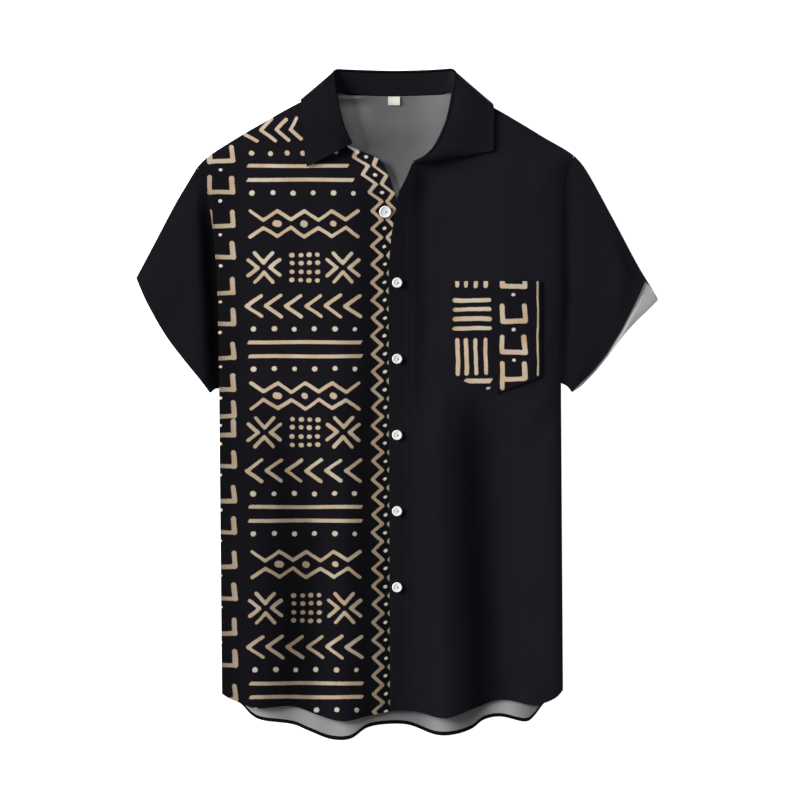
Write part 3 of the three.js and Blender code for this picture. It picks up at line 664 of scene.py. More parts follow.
motif = {
    "chevronX": (-180.6, -157.2, -133.2, -109.4, -85.8, -62.2), "chevronArm": (18.2, 12.6), "chevronHalf": 2.05,
    "dotX": (-173.4, -148.4, -124.2, -100.2, -75.8, -52.0), "dotHalf": (3.2, 3.0, 2.9, 3.0, 3.1, 2.7),
    "bar": (-178.6, -42.4), "barHalf": 2.2,
    "zigzagX": (-176.0, -160.6, -143.4, -127.2, -111.0, -94.4, -78.4, -61.6, -46.6), "zigzagHigh": 15.4,
    "zigzagLow": 4.6, "zigzagHalf": 2.0,
    "squares": ((-144.0, 1.6, 4.0), (-111.6, 0.6, 3.6), (-76.8, 0.6, 3.6)),
    "crossX": (-159.6, -65.0), "crossApex": (7.2, 5.4), "crossSide": (19.0, 9.4), "crossTop": (10.8, 17.4),
    "crossHalf": 2.1,
    "gridX": (-126.0, -115.2, -105.4, -95.4), "gridY": (15.2, 5.8, -5.0, -15.0), "gridHalf": 2.7,
}
brackets = {
    "foot": [290.8, 253.6, 213.0, 175.8, 132.6, 95.8, 54.8, 17.2, -15.0, -37.8, -75.0, -117.0, -154.2, -195.6, -233.4,
             -275.6, -313.2, -355.0],
    "left": -224.8, "right": -197.4, "drift": 3.6, "tall": 19.8, "leanIn": 1.6, "legHalf": 3.0, "footHalf": 2.6,
    "dotX": -211.8, "dotDrop": 10.4, "dotHalf": 1.8,
}
edgeColumn = {
    "dotX": -15.0, "left": -30.3, "leftInner": -18.4, "rightInner": -12.0, "right": -2.0, "pitch": 21.45,
    "first": 231.6, "up": 4, "down": 29, "half": 1.9, "dotHalf": 1.8, "drift": 1.8, "bendFrom": 246.0,
    "bend": (0.33, 0.0022),
}
pocketPrint = {
    "uprights": (72.5, 82.9, 94.2, 106.1), "tick": (140.6, 150.0), "rows": (124.2, 113.4, 102.0, 90.6),
    "rowSpan": (66.8, 113.0), "barHalf": 2.8, "tall": (76.8, 36.6), "cut": (80.4, 113.4, 27.8, 2.8),
    "scrap": (107.0, 111.8, 19.0, 1.5), "bracketX": (126.0, 153.6), "foot": (140.8, 99.2, 62.0, 30.0), "legTall": 18.4,
    "legHalf": 2.9, "tail": 19.8, "dotX": 139.6, "dotY": (130.8, 89.4, 52.4), "dotHalf": 1.9,
    "line": (168.6, 150.0, 34.0, 1.05),
}


def crossStrokes(x):
    (apexX, apexY), (sideX, sideY), (topX, topY) = motif["crossApex"], motif["crossSide"], motif["crossTop"]
    strokes = []
    for side in (1, -1):
        for fall in (1, -1):
            strokes.append((x + side * apexX, 0, x + side * sideX, fall * sideY, motif["crossHalf"]))
            strokes.append((x, side * apexY, x + fall * topX, side * topY, motif["crossHalf"]))
    return strokes


def bandStrokes():
    m = motif
    strokes = list(topStrokes)
    for kind, y, shift in printRows:
        row = []
        if kind == "chevrons":
            reach, rise = m["chevronArm"]
            row = [(x, 0, x + reach, side * rise, m["chevronHalf"]) for x in m["chevronX"] for side in (1, -1)]
        if kind == "dots":
            row = [(x - 0.2, 0, x + 0.2, 0, half) for x, half in zip(m["dotX"], m["dotHalf"])]
        if kind == "diamonds":
            for k, (x1, x2) in enumerate(zip(m["zigzagX"], m["zigzagX"][1:])):
                first, last = (m["zigzagHigh"], m["zigzagLow"]) if k % 2 == 0 else (m["zigzagLow"], m["zigzagHigh"])
                row += [(x1, side * first, x2, side * last, m["zigzagHalf"]) for side in (1, -1)]
            row += [(x - reach, 0.3, x + reach, -0.3, half) for x, reach, half in m["squares"]]
        if kind == "crosses":
            row = [stroke for x in m["crossX"] for stroke in crossStrokes(x)]
            row += [(x - 0.4, dy, x + 0.4, dy, m["gridHalf"]) for x in m["gridX"] for dy in m["gridY"]]
        strokes += [(x1 + shift, y + y1, x2 + shift, y + y2, half) for x1, y1, x2, y2, half in row]
    return strokes


def bandBars():
    m = motif
    return topBars + [(m["bar"][0] + shift, m["bar"][1] + shift, y, m["barHalf"])
                      for kind, y, shift in printRows if kind == "bar"]


def bracketStrokes():
    b = brackets
    strokes = []
    for y in b["foot"]:
        right = b["right"] + b["drift"] * (b["foot"][0] - y) / (b["foot"][0] - b["foot"][-1])
        strokes.append((b["left"], y, right + 0.8, y + 0.4, b["footHalf"]))
        strokes.append((right + 0.6, y + 0.4, right - b["leanIn"] * 0.5, y + b["tall"] - 3, b["legHalf"]))
        strokes.append((b["left"] + 0.4, y, b["left"] - 0.2, y + b["tall"] - 2, b["legHalf"]))
        strokes.append((b["dotX"] - 0.4, y - b["dotDrop"], b["dotX"] + 0.6, y - b["dotDrop"], b["dotHalf"]))
    return strokes


def columnStrokes():
    c = edgeColumn
    strokes = []
    for k in range(-c["up"], c["down"]):
        y = c["first"] - k * c["pitch"]
        low = clamp01(k / 3)
        drift = c["drift"] * clamp01(k / c["down"])
        for tip, inner in ((c["left"], c["leftInner"]), (c["right"], c["rightInner"] + 0.8 * low)):
            for way in (0.5, -0.5):
                strokes.append((tip + drift, y, inner + drift, y + way * c["pitch"], c["half"]))
        strokes.append((c["dotX"] - 0.7 + drift, y - 0.4, c["dotX"] + 0.7 + drift, y + 0.4, c["dotHalf"]))
    return strokes


def pocketStrokes():
    p = pocketPrint
    strokes = []
    for x in p["uprights"]:
        strokes.append((x, p["tick"][0] + 1.0, x, p["tick"][1] + 4, p["barHalf"] - 0.4))
        strokes.append((x, p["tall"][0], x + 0.4, p["tall"][1], p["barHalf"] - 0.4))
    left, right = p["bracketX"]
    for y in p["foot"]:
        strokes.append((left + 1, y, right, y, p["legHalf"] - 0.2))
        strokes.append((left, y, left, y + p["legTall"], p["legHalf"]))
        strokes.append((right, y + 0.4, right - 1.4, y + p["legTall"], p["legHalf"]))
    strokes.append((left, p["foot"][-1], left + 0.4, p["tail"], p["legHalf"]))
    for y in p["dotY"]:
        strokes.append((p["dotX"] - 0.4, y, p["dotX"] + 0.5, y, p["dotHalf"]))
    strokes.append((p["line"][0], p["line"][1], p["line"][0], p["line"][2], p["line"][3]))
    for y in p["rows"]:
        strokes.append((p["rowSpan"][0] + 2.2, y, p["rowSpan"][1] - 2.2, y, p["barHalf"] - 0.3))
    return strokes


# How the hand that drew the print varies: far and near wobble, change of width, slant of a bar's ends, in millimetres
hand = {"wobble": 0.4, "tremble": 0.12, "width": 0.08, "slant": 0.6, "wave": 0.25, "farthest": 6.0, "reach": 8}


def strokeField(x, y, strokes, bars=()):
    # Distance in millimetres to the edge of the nearest stroke, below zero on the ink
    far, fine = hand["wobble"], hand["tremble"]
    wx = x + far * np.sin(y / 9.3 + 0.9 * np.sin(x / 14)) + fine * np.sin(y / 3.4 + x / 5)
    wy = y + far * np.sin(x / 10.1 + 1.7 * np.sin(y / 13)) + fine * np.sin(x / 3.6 - y / 6)
    best = np.full(x.shape, hand["farthest"])
    for number, (x1, y1, x2, y2, halfWidth) in enumerate(strokes):
        width = halfWidth * (1 + hand["width"] * math.sin(number * 2.39))
        reach = hand["reach"] + width
        near = ((wx > min(x1, x2) - reach) & (wx < max(x1, x2) + reach)
                & (wy > min(y1, y2) - reach) & (wy < max(y1, y2) + reach))
        px, py = wx[near], wy[near]
        dx, dy = x2 - x1, y2 - y1
        t = clamp01(((px - x1) * dx + (py - y1) * dy) / max(dx * dx + dy * dy, 1e-6))
        away = np.hypot(px - x1 - t * dx, py - y1 - t * dy) - width
        best[near] = np.minimum(best[near], away)
    for left, right, middle, halfWidth in bars:
        along = x - hand["slant"] * (y - middle)
        wavy = y + hand["wave"] * np.sin(x / 17 + middle)
        best = np.minimum(best, np.maximum(np.abs(wavy - middle) - halfWidth, np.maximum(left - along, along - right)))
    return best


# How strongly painted shade darkens slopes that face the lamp, and how softly the crease shades end
facingShade = {"darken": 1.9, "most": 0.4, "steepest": 0.3, "softEnd": 20}


def toneAndShadeField(grid, level, shades=(), ring=False):
    # Painted shade over the tone level: darker in the creases, and on slopes that face the low light, which would
    # bleach them
    n = gridNormals(grid, ring)
    leanX = -n[:, :, 0] * np.sign(n[:, :, 2]) / np.maximum(np.abs(n[:, :, 2]), facingShade["steepest"])
    toneAndShade = level - facingShade["darken"] * level * np.clip(leanX, 0, facingShade["most"])
    x, y = grid[:, :, 0], grid[:, :, 1]
    for points, left, right in shades:
        line = np.array(points[::-1], float)
        off = x - np.interp(y, line[:, 1], line[:, 0])
        beyond = np.maximum(0, y - line[-1, 1])
        toneAndShade = toneAndShade * (1 - np.interp(y, line[:, 1], line[:, 2]) * bell(off, np.where(off < 0, left, right))
                       * bell(beyond, facingShade["softEnd"]))
    return clamp01(toneAndShade)


# Sewing

def ringFaces(rings, sides, start=0):
    # The sides of a tube of rings of points
    return [(start + k * sides + j, start + k * sides + (j + 1) % sides, start + (k + 1) * sides + (j + 1) % sides,
             start + (k + 1) * sides + j) for k in range(rings - 1) for j in range(sides)]


# One stitch: its rings by place along it, thickness and rise
stitch = {"pitch": 2.6, "length": 1.9, "half": 0.2, "sides": 5, "above": 0.05,
          "rings": [(-0.5, 0.35, -0.12), (-0.25, 1.0, 0.08), (0.25, 1.0, 0.08), (0.5, 0.35, -0.12)]}


def sewStitches(name, lines, material):
    # Each stitch is a short arched thread; lines holds (points, normals) in millimetres
    sides, half, pitch = stitch["sides"], stitch["half"], stitch["pitch"]
    shape = np.array([(along * stitch["length"], math.cos(a) * half * size, math.sin(a) * half * size + arch)
                      for along, size, arch in stitch["rings"] for a in np.arange(sides) * 2 * math.pi / sides])
    corner = np.array(ringFaces(len(stitch["rings"]), sides))
    points, faces, count = [], [], 0
    for line, normals in lines:
        run = np.concatenate([[0], np.cumsum(np.linalg.norm(np.diff(line, axis=0), axis=1))])
        places = np.arange(pitch, run[-1] - pitch, pitch)
        centre = np.stack([np.interp(places, run, line[:, k]) for k in range(3)], 1)
        ahead = np.stack([np.interp(places + 0.5, run, line[:, k]) for k in range(3)], 1)
        up = np.stack([np.interp(places, run, normals[:, k]) for k in range(3)], 1)
        tangent = ahead - centre
        tangent /= np.linalg.norm(tangent, axis=1, keepdims=True)
        side = np.cross(up, tangent)
        side /= np.linalg.norm(side, axis=1, keepdims=True)
        axes = np.stack([tangent, side, up], 1)
        points.append((centre[:, None] + np.einsum("pk,nkc->npc", shape, axes)).reshape(-1, 3))
        faces.append((corner[None] + (count + np.arange(len(places)) * len(shape))[:, None, None]).reshape(-1, 4))
        count += len(places) * len(shape)
    return finishMesh(name, np.concatenate(points), np.concatenate(faces), [material], sharp=80)


def surfaceLine(grid, thick, pick):
    # pick is a stretch of one column or of one row of the grid
    normals = gridNormals(grid)[pick]
    return grid[pick] + normals * (thick / 2 + stitch["above"]), normals


def dress(obj, slotName, *nodes):
    if nodes:
        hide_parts(*nodes)
    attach(obj, "root")


# Body panels

# Where the side turns into the armhole, the edge into the opening and the opening into the neck, as shares of the rows
sideShare, edgeShare, openShare = 17 / 30, 21 / 30, 25 / 30
hemStart, hemEnd = cutLines["hemFront"][0][0], cutLines["hemFront"][-1][0]


def hemLine(start, end, hemY):
    def at(u):
        x = start + (end - start) * np.asarray(u, float)
        return np.stack([x, hemY(x)], -1)
    return at


def sideLine(side, armhole):
    return chain((sideShare, smoothLine(cutLines[side])), (1.0, smoothLine(cutLines[armhole])))


def frontEdgeLine(edge, opening, neck, start):
    line = chain((edgeShare, smoothLine(cutLines[edge])), (openShare, smoothLine(cutLines[opening])),
                 (1.0, smoothLine(cutLines[neck])))
    off = start - line(np.array([0.0]))[0]
    return lambda s: line(s) + off * (1 - ease(0, 0.1, np.asarray(s, float)))[..., None]


def lift(plan, height):
    return np.concatenate([plan, height(plan[:, :, 0], plan[:, :, 1])[:, :, None]], 2)


back = {"columns": 110, "rows": 340, "edgeRows": 2, "hemLightLevels": (0.06, 0.62)}
# Painted light on the wrong side along the hem, where it bulges: place, half width, share
paintedHemLights = [(-165, 28, 0.5), (-110, 22, 0.3), (-62, 20, 0.44), (53, 20, 0.36), (128, 17, 0.4), (164, 10, 0.03)]
# Where the open edge of the plain front casts its shadow on the wrong side, which is painted lighter there: the two
# ends of each stroke, and its half width
openShadow = [(-20.4, 292.3, -10.7, 276.7, 0.5), (-10.7, 276.7, -2.9, 253.4, 0.5)]


def neckLightAndShade(x, y):
    # Painted light and shade on the wrong side inside the neck: dark under the collar, painted lighter in the places
    # named
    right = 0.11 * ease(5, 55, x)
    underFall = 0.3 * ease(-20, -60, x) * ease(366, 352, y)
    corner = 0.06 * bell(x + 52, 16) * bell(y - 364, 7)
    opening = 0.6 * bell(x, 8) * bell(y - 252, 12)
    alongEdge = 0.16 * bell(strokeField(x, y, openShadow), 3)
    seam = 0.3 * bell(y - 367.6, 1.5) * ease(-38, -50, x)
    return clamp01(0.03 + right + underFall - corner + opening + alongEdge + seam)


shoulders = smoothLine(cutLines["shoulderRight"]), smoothLine(cutLines["shoulderLeft"])
backTop = chain((1 / 3, shoulders[0]), (2 / 3, smoothLine(cutLines["neckBack"])), (1.0, backwards(shoulders[1])))
backPlan = patch(hemLine(hemStart, hemEnd, hemBackY), backTop, sideLine("sideRight", "armholeRight"),
                 sideLine("sideLeft", "armholeLeft"), back["columns"], back["rows"])
backGrid = lift(backPlan, lambda x, y: backHeight(x, y) - (cloth["backLevel"] - cloth["thick"] / 2))
bx, by = backPlan[:, :, 0], backPlan[:, :, 1]
# The back's tone is painted light and shade: light on the hem's bulges in the lower half, the neck's light and shade
# above
paintedHemLight = sum(share * bell(bx - place, half) for place, half, share in paintedHemLights)
backLightAndShade = np.where(by < 0, clamp01(back["hemLightLevels"][0] + back["hemLightLevels"][1] * paintedHemLight), neckLightAndShade(bx, by))
edgeMap = np.ones((back["rows"], back["columns"]), int)
edgeMap[:back["edgeRows"]] = 0
backPiece = clothWall("backPanel", backGrid, cloth["thick"], (black, wrongSide), edgeMap,
                      np.zeros_like(edgeMap), fields={"toneAndShade": backLightAndShade})
dress(backPiece, "plain_cloth_wrong_side", "back")
print("back made")

printedFront = {"columns": 119, "rows": 400, "toneAndShade": 0.57, "dotsPale": 0.4, "rowDotsPale": 0.2}
hemUnder = hemLine(hemStart, cutLines["edgeUnder"][0][0], hemFrontY)
rightPlan = patch(hemUnder, shoulders[0], sideLine("sideRight", "armholeRight"),
                  frontEdgeLine("edgeUnder", "openUnder", "neckRight", hemUnder(np.array([1.0]))[0]),
                  printedFront["columns"], printedFront["rows"])
rightGrid = lift(rightPlan, frontHeight)
rx, ry = rightPlan[:, :, 0], rightPlan[:, :, 1]
above = np.clip(ry - edgeColumn["bendFrom"], 0, None)
bend = edgeColumn["bend"][0] * above + edgeColumn["bend"][1] * above ** 2
patchField = strokeField(rx, ry, [palePatch])
bandField = strokeField(rx, ry, bandStrokes() + bracketStrokes(), bandBars())
columnField = strokeField(rx + bend, ry, columnStrokes())
# The dots were printed in a thinner, whiter ink, most of all the small ones of both upright columns
smallDots = [stroke for stroke in bracketStrokes() if stroke[4] == brackets["dotHalf"]]
columnDots = [stroke for stroke in columnStrokes() if stroke[4] == edgeColumn["dotHalf"]]
rowDots = [(x + shift, y, x + shift, y, max(motif["dotHalf"]))
           for kind, y, shift in printRows if kind == "dots" for x in motif["dotX"]]
dotField = np.minimum(strokeField(rx, ry, smallDots), strokeField(rx + bend, ry, columnDots))
pale = [clamp01(1 - patchField), printedFront["dotsPale"] * clamp01(1 - dotField),
        printedFront["rowDotsPale"] * clamp01(1 - strokeField(rx, ry, rowDots))]
rightPiece = clothWall("rightFrontPrinted", rightGrid, cloth["thick"], (printed, wrongSide), fields={
    "toneAndShade": toneAndShadeField(rightGrid, printedFront["toneAndShade"], printedShades),
    "print": np.minimum(np.minimum(bandField, columnField), patchField),
    "pale": np.maximum(pale[0], np.maximum(pale[1], pale[2]))})
dress(rightPiece, "printed_cloth", "front_right_printed")
print("printed front made")

plainFront = {"columns": 92, "rows": 330, "toneAndShade": 0.8}
hemOver = hemLine(cutLines["edgeOver"][0][0], hemEnd, hemFrontY)
leftPlan = patch(hemOver, backwards(shoulders[1]),
                 frontEdgeLine("edgeOver", "openOver", "neckLeft", hemOver(np.array([0.0]))[0]),
                 sideLine("sideLeft", "armholeLeft"), plainFront["columns"], plainFront["rows"])
leftGrid = lift(leftPlan, plainHeight)
leftPiece = clothWall("leftFrontPlain", leftGrid, cloth["thick"], (black, wrongSide),
                      fields={"toneAndShade": toneAndShadeField(leftGrid, plainFront["toneAndShade"], plainShades)})
dress(leftPiece, "plain_cloth", "front_left_plain")
print("plain front made")


# Sleeves: flattened tubes whose upper and lower layers turn round the top fold and the underarm seam

# The lower layer shares the first five points of the fold and then goes its own way, by underEnd
# Each sleeve's tone level is painted light and shade: the one cloth gets a lower level on the sleeve nearer the lamp
sleeveLines = {
    "right": {
        "fold": [(-239.7, 284), (-248, 270), (-265.8, 240), (-288, 198), (-299.2, 176.8), (-312.4, 152)],
        "underEnd": [(-312.4, 152)],
        "cuffOver": [(-313, 151.6), (-300, 121.8), (-278.4, 83.6), (-256, 53.6), (-235.6, 28.4), (-224.2, 12.8)],
        "cuffUnder": [(-311.4, 152.4), (-298.2, 122.6), (-276.6, 85), (-254.4, 55.2), (-234.2, 30), (-222.8, 14.2)],
        "seam": [(-213.5, 18.8), (-218.4, 18), (-224.2, 12.8)],
        "armhole": "armholeRight", "outward": -1, "valley": (-0.02, 0.17), "node": "sleeve_right", "curl": 0.0,
        "flatten": 0, "toneAndShade": 0.59,
    },
    "left": {
        "fold": [(212.8, 297.6), (223.1, 286.1), (234.5, 267.6), (250.6, 238), (271.9, 198.2), (284.6, 173.6),
                 (298.6, 149)],
        "underEnd": [(284.6, 174), (298.2, 150.4), (313.8, 125.6)],
        "cuffOver": [(298.6, 149), (292.2, 134.4), (284.2, 117.6), (276.8, 103.2), (269.4, 88.8), (262, 76.6),
                     (250, 57.6), (233.4, 37.4), (219.2, 23.8), (209.8, 14)],
        "cuffUnder": [(313.8, 125.6), (303.4, 115), (288.4, 100.6), (275.2, 86.4), (263.8, 72), (253, 57.6),
                      (241.6, 43.4), (235.4, 36.2), (221, 21.8), (209.8, 14)],
        "seam": [(196.9, 25.0), (203.8, 21.4), (209.8, 14)],
        "armhole": "armholeLeft", "outward": 1, "valley": (0.0, 0.26), "node": "sleeve_left", "curl": 4.2,
        "flatten": 0.6, "toneAndShade": 0.67,
    },
}
sleeveShape = {"along": 64, "across": 118, "ends": 12, "loft": 1.7, "gap": 0.25, "mouth": 0.6, "curlFrom": 0.84,
               "flatFrom": 0.75, "wrongTone": 0.24, "mouthReach": 5.5}
sleeveFolds = [
    ([(-222, 262), (-236, 236), (-238, 160), (-230, 76)], 15, 13, 1.4, 26),
    ([(-262, 226), (-262, 150), (-246, 70)], 20, 20, 0.8, 26),
    ([(-226, 210), (-222.6, 150), (-220, 60), (-218, 20)], 7, 7, -1.6, 26),
    ([(229, 270), (236, 250.8), (247, 183.6), (252, 132), (253, 60)], 20, 14, -0.8, 26),
    ([(268, 196), (270, 150), (262, 104)], 13, 16, 1.0, 26),
]


def sleeveHeight(x, y):
    return longFoldSum(x, y, sleeveFolds) + 0.6 * ripple(x * 1.3, y * 1.2 + 40)


def makeSleeve(side):
    s, shape = sleeveLines[side], sleeveShape
    armhole = smoothLine(cutLines[s["armhole"]])
    top, bottom = np.array(s["fold"][0]), np.array(s["seam"][0])
    gapX = s["outward"] * shape["gap"]

    def body(b):
        p = armhole(1 - b)
        start, end = armhole(np.array([1.0]))[0], armhole(np.array([0.0]))[0]
        joined = p + np.array([gapX, 0])
        joined = joined + (top - start - [gapX, 0]) * (1 - ease(0, 0.05, b))[:, None]
        return joined + (bottom - end - [gapX, 0]) * ease(0.95, 1, b)[:, None]

    def layer(fold, cuff, a, b):
        foldLine, cuffLine = smoothLine(fold), smoothLine(cuff)
        seamLine = smoothLine(s["seam"][:-1] + [cuff[-1]])
        f, g = foldLine(a)[:, None], seamLine(a)[:, None]
        near, far = body(b)[None], cuffLine(b)[None]
        aa, bb = a[:, None, None], b[None, :, None]
        c = foldLine(np.array([0.0, 1.0])), seamLine(np.array([0.0, 1.0]))
        corners = (c[0][0] * (1 - aa) + c[0][1] * aa) * (1 - bb) + (c[1][0] * (1 - aa) + c[1][1] * aa) * bb
        return f * (1 - bb) + g * bb + near * (1 - aa) + far * aa - corners

    def upperLayer(a, b):
        return layer(s["fold"], s["cuffOver"], a, b)

    def lowerLayer(a, b):
        return layer(s["fold"][:5] + s["underEnd"], s["cuffUnder"], a, b)

    a = np.linspace(0, 1, shape["along"] + 1)
    gap = cloth["layerStep"] + shape["mouth"] * ease(0, 0.35, a)
    sides = upperLayer(a, np.array([0.0, 1.0]))
    width = np.linalg.norm(sides[:, 0] - sides[:, 1], axis=1)
    rim = cloth["thick"] / 2 / width
    inset = rim + gap / 2 / width
    low = cloth["thick"] / 2
    share = np.linspace(0, 1, shape["across"] + 1)
    turn = np.linspace(0, 1, shape["ends"] + 1)[1:-1]

    def turned(i, part, lastEdge, rise):
        # Half a circle at one edge, from the upper layer down to the lower one
        drop = math.pi * part
        inward = inset[i] - (inset[i] - rim[i]) * np.sin(drop)
        o, u = (at(a[i:i + 1], 1 - inward if lastEdge else inward)[0] for at in (upperLayer, lowerLayer))
        height = low + gap[i] / 2 * (1 + np.cos(drop)) + rise * part
        return np.column_stack([o + (u - o) * part[:, None], height])

    rows = []
    for i, ai in enumerate(a):
        b = inset[i] + (1 - 2 * inset[i]) * share
        over, under = upperLayer(a[i:i + 1], b)[0], lowerLayer(a[i:i + 1], b)[0]
        full = np.sqrt(np.clip(1 - (2 * b - 1) ** 4, 0, None)) * ease(*s["valley"], ai)
        swell = (shape["loft"] + sleeveHeight(over[:, 0], over[:, 1])) * full
        swell = softAbove(swell, 0.0, 0.3) * clamp01(10 * np.minimum(b, 1 - b))
        swell = swell * (1 - s["flatten"] * ease(shape["flatFrom"], 1.0, ai))
        curl = s["curl"] * ease(shape["curlFrom"], 1.0, ai) * (1 - b)
        upper = np.column_stack([over, low + gap[i] + swell])
        lower = np.column_stack([under, low + curl])[::-1]
        rows.append(np.concatenate([upper, turned(i, turn, True, 0), lower, turned(i, 1 - turn, False, curl[0])]))
    grid = np.array(rows)
    if s["outward"] < 0:
        grid = grid[:, ::-1]
    toneAndShade = toneAndShadeField(grid, s["toneAndShade"], sleeveShades[side], ring=True)
    # The wrong side reads evenly grey in the mouth, so it is painted lighter where the upper layer shades it
    mouthLine = smoothLine(s["cuffOver"])(np.linspace(0, 1, 160))
    beyond = np.linalg.norm(grid[:, :, None, :2] - mouthLine, axis=3).min(axis=2)
    mouthPaintedLight = shape["wrongTone"] + (1 - shape["wrongTone"]) * (1 - ease(0, shape["mouthReach"], beyond))
    paleRim = (np.arange(grid.shape[1]) > shape["across"] + shape["ends"]) & (s["curl"] > 0)
    piece = clothWall("sleeve" + side.capitalize(), grid, cloth["thick"], (black, wrongSide), ring=True,
                      lastRim=paleRim, fields={"toneAndShade": toneAndShade}, inside={"toneAndShade": mouthPaintedLight})
    dress(piece, "plain_cloth", s["node"])
    return piece


sleeveRightPiece = makeSleeve("right")
sleeveLeftPiece = makeSleeve("left")

# Seam allowances inside each armhole, which close the join from below; their low tone is painted shade in the join
allowance = {"reach": 3.2, "level": 1.22, "thick": 0.28, "ends": (0.0, 0.99), "steps": 150, "toneAndShade": 0.3}


def makeAllowance(name, armhole):
    line = smoothLine(cutLines[armhole])(np.linspace(*allowance["ends"], allowance["steps"] + 1))
    tangent = np.gradient(line, axis=0)
    tangent /= np.linalg.norm(tangent, axis=1, keepdims=True)
    side = np.column_stack([tangent[:, 1], -tangent[:, 0]])
    offsets = np.linspace(-1, 1, 5) * allowance["reach"]
    plan = line[:, None] + side[:, None] * offsets[None, :, None]
    level = np.full(plan.shape[:2] + (1,), allowance["level"])
    return clothWall(name, np.concatenate([plan, level], 2), allowance["thick"], (black, black),
                     fields={"toneAndShade": np.full(plan.shape[:2], allowance["toneAndShade"])})


for side in ("Right", "Left"):
    dress(makeAllowance("armholeAllowance" + side, "armhole" + side), "plain_cloth")
print("sleeves made")


# Collar: a stand rising from the neck seam, and a fall that rolls over its top edge
# Columns: top of the stand, neck seam, outer edge of the fall, and 1 where the fall lies over the fronts

collarRows = [
    ((-54.0, 312.0, 10.6), (-55.8, 310.8, 6.2), (-108.0, 284.0, 0), 1),
    ((-62.8, 329.6, 14.0), (-67.4, 326.6, 7.0), (-111.4, 306, 0), 1),
    ((-69.0, 352.0, 15.0), (-74.4, 347.6, 7.6), (-112.4, 330, 0), 1),
    ((-72.6, 372.0, 14.0), (-76.6, 366.6, 7.6), (-112.0, 346, 0), 1),
    ((-74.0, 384.0, 12.2), (-75.8, 372.0, 7.0), (-113.6, 357.0, 8.4), 1),
    ((-74.8, 391.6, 10.0), (-74.6, 373.0, 6.0), (-115.0, 362.4, 6.6), 0.72),
    ((-74.2, 397.0, 7.8), (-72.4, 372.8, 5.3), (-115.4, 363.8, 4.2), 0.4),
    ((-70.4, 399.0, 6.0), (-68.4, 372.2, 5.0), (-113.2, 364.0, 1.6), 0),
    ((-63.0, 398.8, 5.0), (-61.8, 372.4, 4.6), (-98, 352, 0.6), 0),
    ((-37.2, 397.8, 4.4), (-37.2, 370.5, 3.2), (-54, 343.2, 0.6), 0),
    ((-3.6, 397.0, 4.4), (-3.6, 369.9, 3.2), (-3.6, 342, 0.6), 0),
    ((32.4, 397.8, 4.4), (32.4, 370.7, 3.2), (48, 343.2, 0.6), 0),
    ((57.0, 399.2, 5.0), (56.0, 372.8, 4.5), (97, 350.8, 0.6), 0),
    ((64.6, 399.6, 6.0), (61.8, 373.4, 5.1), (113.0, 359.2, 1.6), 0),
    ((68.2, 397.0, 7.8), (65.4, 374.0, 5.3), (115.0, 358.2, 4.2), 0.4),
    ((68.6, 391.6, 10.0), (67.6, 374.2, 6.0), (115.6, 356.0, 6.8), 0.72),
    ((67.6, 384.0, 12.2), (68.8, 372.0, 7.0), (116.0, 350.8, 8.6), 1),
    ((66.0, 372.0, 14.0), (69.0, 366.6, 7.6), (115.8, 343, 0), 1),
    ((62.6, 352.0, 15.0), (67.4, 348.4, 7.6), (115.6, 332, 0), 1),
    ((57.0, 332.0, 15.0), (63.4, 330.0, 7.6), (115.6, 321, 0), 1),
    ((45.6, 309.0, 14.0), (49.6, 303.4, 7.4), (115.4, 311, 0), 1),
    ((33.6, 296.4, 12.8), (37.0, 293.0, 7.4), (115.2, 307, 0), 1),
    ((19.8, 290.2, 10.6), (19.4, 289.9, 7.4), (115.0, 303.4, 0), 1),
]
collar = {"stations": 260, "standSteps": 12, "rollSteps": 8, "fallSteps": 30, "rollRadius": 1.3, "bulge": 2.0,
          "standThick": 1.0, "fallThick": 1.2, "gap": 0.7, "step": 1.9, "standTop": 0.975, "toneAndShade": 0.62,
          "leftPaintedLight": 0.36, "foldPaintedShade": 0.08, "rollPaintedShade": 0.5}


def leafSupport(x, y):
    return np.where(x < 0, frontHeight(x, y), plainHeight(x, y)) + collar["step"]


def edgePoint(x, y, z):
    # An outer edge given as 0 rests on the front below it
    return x, y, z or float(leafSupport(np.array([x]), np.array([y]))[0])


at = np.linspace(0, len(collarRows) - 1, collar["stations"] + 1)
fold, neck = (spans([row[k] for row in collarRows], at) for k in range(2))
edge = spans([edgePoint(*row[2]) for row in collarRows], at)
over = np.interp(at, np.arange(len(collarRows)), [row[3] for row in collarRows])

standShare = np.linspace(0, collar["standTop"], collar["standSteps"] + 1)[None, :, None]
standGrid = neck[:, None] * (1 - standShare) + fold[:, None] * standShare
standPiece = clothWall("collarStand", standGrid, collar["standThick"], (black, black), uv=runLengths(standGrid),
                       fields={"toneAndShade": np.full(standGrid.shape[:2], collar["toneAndShade"])})
dress(standPiece, "plain_cloth", "collar_stand")


def unit(vectors):
    return vectors / np.linalg.norm(vectors, axis=1, keepdims=True)


